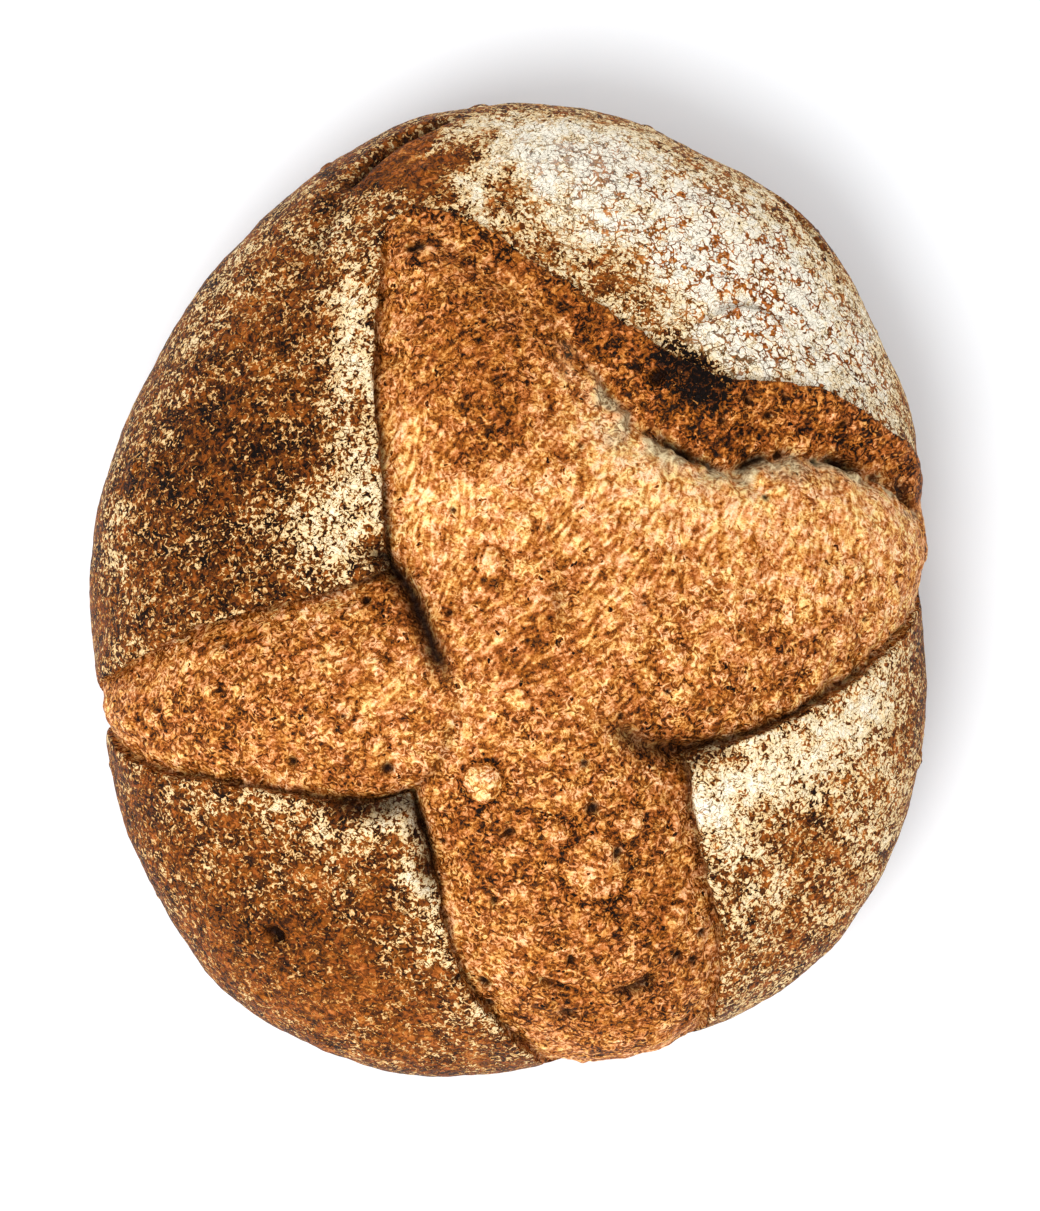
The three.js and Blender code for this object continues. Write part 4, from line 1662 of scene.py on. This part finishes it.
@dataclass
class Loaf:
    """The baked loaf: the map's fields laid over the dome, closed by its base.

    The base's bake and flour are each a usual value, the noise's strength, and its size. The shift
    takes the base to a part of the noise that the skin doesn't use.
    """

    node: str = "loaf"
    cells: int = 560
    quick_cells: int = 300
    base_rings: int = 24
    triangles: int = 190_000
    top_share: float = 0.82
    uv_gap: float = 0.01
    base_dent: float = 0.7
    base_dent_size: float = 26.0
    base_rim: float = 6.0
    base_bake: tuple[float, float, float] = (0.62, 0.12, 30.0)
    base_flour: tuple[float, float, float] = (0.30, 0.10, 40.0)
    base_shift: float = 500.0
    dome: Dome = field(default_factory=Dome)

    @cached_property
    def crust(self) -> Crust:
        """The fields of the crust."""
        scoring = Scoring(SkinMap(self.dome))
        return Crust(scoring, Stretch(scoring), Bubbles(scoring))

    def square_to_disc(self, across: Array, up: Array) -> tuple[Array, Array]:
        """Bearing and distance from the middle of places in a square from -1 to 1.

        Squares around the middle become circles: the larger coordinate is the distance, and the
        other, over the larger, is the share of an eighth of a turn.

        Args:
            across: places to the right of the square's middle.
            up: places above the square's middle.

        Returns:
            The bearings and the distances.
        """
        wide = np.abs(across) > np.abs(up)
        reach = np.where(wide, across, up)
        safe = np.where(reach == 0, 1.0, reach)
        bearing = np.where(wide, np.pi / 4 * up / safe, np.pi / 2 - np.pi / 4 * across / safe)
        bearing = np.where(reach < 0, bearing + np.pi, bearing)
        return np.arctan2(np.sin(bearing), np.cos(bearing)), np.abs(reach)

    def top(self, cells: int) -> tuple[dict[str, Array], Array]:
        """The skin from the crown to the edge of the base.

        Args:
            cells: cells along each side of the square grid.

        Returns:
            The vertices' fields, among them their points, and the triangles.
        """
        side = np.linspace(-1, 1, cells + 1)
        across, up = (part.ravel() for part in np.meshgrid(side, side))
        bearing, reach = self.square_to_disc(across, up)
        x, y = self.dome.map_place(bearing, reach * self.dome.full_length)
        skin, scoring = self.crust.skin, self.crust.scoring
        lean = [skin.sample(part, x, y) for part in scoring.lean]
        along, upward, outward = self.dome.directions(x, y)
        points = self.dome.surface(x, y) + outward * skin.sample(self.crust.relief, x, y)[:, None]
        points += along * lean[0][:, None] + upward * lean[1][:, None]
        border = reach > 1 - 1e-9
        points[border] = self.dome.surface(x, y)[border] * (1, 1, 0)
        flow = [skin.sample(part, x, y)[:, None] for part in self.crust.stretch.flow]
        fields = {
            "points": points,
            "uv": np.column_stack(((across + 1) / 2 * self.top_share, (up + 1) / 2)),
            "flow": along * flow[0] + upward * flow[1],
        }
        for label, values in self.crust.looks.items():
            fields[label] = skin.sample(values, x, y)
        return fields, self.grid_triangles(cells)

    def grid_triangles(self, cells: int) -> Array:
        """Two triangles for each cell, cut along the diagonal that points away from the middle.

        Args:
            cells: cells along each side of the square grid.

        Returns:
            Three vertex numbers for each triangle.
        """
        column, row = (part.ravel() for part in np.meshgrid(np.arange(cells), np.arange(cells)))
        near = row * (cells + 1) + column
        right, left, far = near + 1, near + cells + 1, near + cells + 2
        outward = (column < cells / 2) == (row < cells / 2)
        outward = outward[:, None]
        along = np.column_stack((near, right, far)), np.column_stack((near, far, left))
        against = np.column_stack((near, right, left)), np.column_stack((right, far, left))
        return np.vstack([np.where(outward, *pair) for pair in zip(along, against)])

    def ring(self, cells: int) -> Array:
        """The grid's border, anticlockwise from above.

        Args:
            cells: cells along each side of the square grid.

        Returns:
            The border's vertex numbers.
        """
        steps = np.arange(cells)
        last = cells * (cells + 1)
        down = steps * (cells + 1)
        return np.concatenate((steps, down + cells, last + cells - steps, last - down))

    def base(self, fields: dict[str, Array], cells: int) -> tuple[dict[str, Array], Array]:
        """The flat base, as rings that shrink from the border of the skin to one middle point.

        Each ring is the border at a smaller size, lifted by shallow dents away from the edge.

        Args:
            fields: the fields of the skin's vertices.
            cells: cells along each side of the skin's grid.

        Returns:
            The fields of the base's own vertices, and its triangles.
        """
        border = self.ring(cells)
        count = len(border)
        edge_points = fields["points"][border]
        share = 1 - np.arange(1, self.base_rings) / self.base_rings
        points = np.vstack([edge_points * size for size in share] + [np.zeros((1, 3))])
        inward = np.concatenate([np.full(count, 1 - size) for size in share] + [[1.0]])
        x, y = points[:, 0] + self.base_shift, points[:, 1] + self.base_shift
        dents = np.clip(Noise(Seed.BASE_DENTS).layered(x, y, self.base_dent_size), 0, 1)
        points[:, 2] = self.base_dent * dents * smooth(inward * self.base_rim)
        own = len(fields["points"])
        rings = [border] + [own + np.arange(count) + step * count for step in range(self.base_rings - 1)]
        triangles = []
        for outer, inner in zip(rings, rings[1:]):
            after_outer, after_inner = np.roll(outer, -1), np.roll(inner, -1)
            triangles.append(np.column_stack((outer, inner, after_outer)))
            triangles.append(np.column_stack((after_outer, inner, after_inner)))
        middle = np.full(count, own + len(points) - 1)
        triangles.append(np.column_stack((rings[-1], middle, np.roll(rings[-1], -1))))
        total = len(points)
        bake_and_shade, bake_change, bake_size = self.base_bake
        flour, flour_change, flour_size = self.base_flour
        extra = {
            "points": points,
            "flow": np.tile((1.0, 0.0, 0.0), (total, 1)),
            "bake_and_shade": bake_and_shade + bake_change * Noise(Seed.BASE_BAKE).layered(x, y, bake_size),
            "flour": flour + flour_change * Noise(Seed.BASE_FLOUR).layered(x, y, flour_size),
            **{label: np.zeros(total) for label in ("drawn", "crackle", "torn", "painted_shade")},
        }
        return extra, np.vstack(triangles)

    def place(self, points: Array) -> Array:
        """Millimetres on a loaf of the usual size, as metres in the frame's box for the loaf.

        Args:
            points: rows of x, y and z, mm.

        Returns:
            Rows of x, y and z, m.
        """
        low, high = (np.array(corner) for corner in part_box(self.node))
        usual = np.array(self.dome.outline)
        scale = (high[:2] - low[:2]) / (usual.max(0) - usual.min(0))
        middle = (high[:2] + low[:2]) / 2 - scale * (usual.max(0) + usual.min(0)) / 2
        return points * (*scale, scale.mean()) + (*middle, low[2])

    def build(self) -> bpy.types.Object:
        """Makes the loaf's mesh, thins it where it is smooth, and dresses it.

        Returns:
            The finished piece.
        """
        cells = self.cells
        fields, triangles = self.top(cells)
        extra, under = self.base(fields, cells)
        base_points = np.vstack((fields["points"], extra["points"]))
        width = np.abs(fields["points"][:, :2]).max(0) * 2
        base_uv = 0.5 + base_points[:, :2] / width
        base_share = 1 - self.top_share - 2 * self.uv_gap
        base_uv[:, 0] = self.top_share + self.uv_gap + base_uv[:, 0] * base_share
        uv = np.vstack((fields.pop("uv")[triangles.ravel()], base_uv[under.ravel()]))
        joined = {label: np.concatenate((values, extra[label])) for label, values in fields.items()}
        faces = np.vstack((triangles, under))

        mesh = bpy.data.meshes.new("loaf_crust")
        mesh.vertices.add(len(joined["points"]))
        mesh.vertices.foreach_set("co", self.place(joined.pop("points")).ravel())
        mesh.loops.add(faces.size)
        mesh.loops.foreach_set("vertex_index", faces.ravel())
        mesh.polygons.add(len(faces))
        mesh.polygons.foreach_set("loop_start", np.arange(0, faces.size, 3))
        mesh.uv_layers.new(name="OFBake").data.foreach_set("uv", uv.ravel())
        for label, values in joined.items():
            kind, part = ("FLOAT_VECTOR", "vector") if values.ndim == 2 else ("FLOAT", "value")
            attribute = mesh.attributes.new(label, kind, "POINT")
            attribute.data.foreach_set(part, values.astype(np.float32).ravel())
        mesh.update(calc_edges=True)
        mesh.validate()
        mesh.shade_smooth()
        loaf = bpy.data.objects.new("loaf_crust", mesh)
        bpy.context.scene.collection.objects.link(loaf)
        if len(faces) > self.triangles:
            self.thin(loaf, self.triangles / len(faces))
        loaf.data.materials.append(BakedCrust().build())

        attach(loaf, "root")
        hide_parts(self.node)
        return loaf

    def thin(self, loaf: bpy.types.Object, share: float) -> None:
        """Merges triangles where the skin is smooth, down to a share of them.

        Args:
            loaf: the piece, whose mesh is replaced.
            share: the share of triangles that is kept.
        """
        modifier = loaf.modifiers.new("thin", "DECIMATE")
        modifier.ratio = share
        graph = bpy.context.evaluated_depsgraph_get()
        thinned = bpy.data.meshes.new_from_object(loaf.evaluated_get(graph))
        loaf.modifiers.clear()
        loaf.data = thinned


# ---------------------------------------------------------------------------------------------
# The studio
# ---------------------------------------------------------------------------------------------

@dataclass
class Studio:
    """A plain pale floor, soft lights, and a camera that looks straight down on the loaf."""

    focal_length: float = 135.0
    sensor_width: float = 36.0
    camera_height: float = 1.221
    camera_offset: tuple[float, float] = (0.00325, -0.00442)
    floor_size: float = 12.0
    floor_gap: float = 0.00005
    key_power: float = 26.0
    key_size: float = 1.3
    key_distance: float = 1.9
    key_bearing: float = 233.0
    key_elevation: float = 57.0
    sky: float = 0.92

    def build(self) -> None:
        """Makes the camera, the floor and the lights."""
        low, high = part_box("loaf")
        middle = (low + high) / 2
        self.make_camera(middle, low.z)
        self.make_floor(low.z - self.floor_gap)
        self.make_key(middle)
        world = bpy.data.worlds.new("sky")
        bpy.context.scene.world = world
        world.use_nodes = True
        background = world.node_tree.nodes["Background"]
        background.inputs["Color"].default_value = linear("#ffffff")
        background.inputs["Strength"].default_value = self.sky
        bpy.context.scene.view_settings.view_transform = "Standard"

    def make_camera(self, middle: Vector, ground: float) -> None:
        """Puts the camera over the loaf, with its top towards +Y.

        Args:
            middle: the middle of the loaf's box.
            ground: height of its base.
        """
        data = bpy.data.cameras.new("camera")
        data.lens = self.focal_length
        data.sensor_width = self.sensor_width
        camera = bpy.data.objects.new("camera", data)
        camera.location = (middle.x + self.camera_offset[0], middle.y + self.camera_offset[1],
                           ground + self.camera_height)
        bpy.context.scene.collection.objects.link(camera)
        bpy.context.scene.camera = camera

    def make_floor(self, height: float) -> None:
        """Lays the sheet of paper that the loaf stands on.

        Args:
            height: height of the sheet.
        """
        half = self.floor_size / 2
        corners = [(x, y, height) for x, y in ((-half, -half), (half, -half), (half, half), (-half, half))]
        mesh = bpy.data.meshes.new("floor")
        mesh.from_pydata(corners, [], [(0, 1, 2, 3)])
        floor = bpy.data.objects.new("floor", mesh)
        floor.data.materials.append(PaperSweep().build())
        bpy.context.scene.collection.objects.link(floor)

    def make_key(self, target: Vector) -> None:
        """Hangs the main soft light so that it shines on the loaf.

        Args:
            target: the point that it shines on.
        """
        bearing, elevation = math.radians(self.key_bearing), math.radians(self.key_elevation)
        away = Vector((math.cos(bearing) * math.cos(elevation), math.sin(bearing) * math.cos(elevation),
                       math.sin(elevation)))
        data = bpy.data.lights.new("key", "AREA")
        data.shape = "DISK"
        data.size = self.key_size
        data.energy = self.key_power
        key = bpy.data.objects.new("key", data)
        key.location = target + away * self.key_distance
        key.rotation_euler = away.to_track_quat("Z", "Y").to_euler()
        bpy.context.scene.collection.objects.link(key)


def main() -> None:
    """Builds the studio and the loaf, and reports what was made."""
    logging.basicConfig(level=logging.INFO, format="%(name)s: %(message)s")
    Studio().build()
    loaf = Loaf().build()
    LOG.info("%s has %d triangles", loaf.name, len(loaf.data.polygons))


if __name__ == "__main__":
    main()
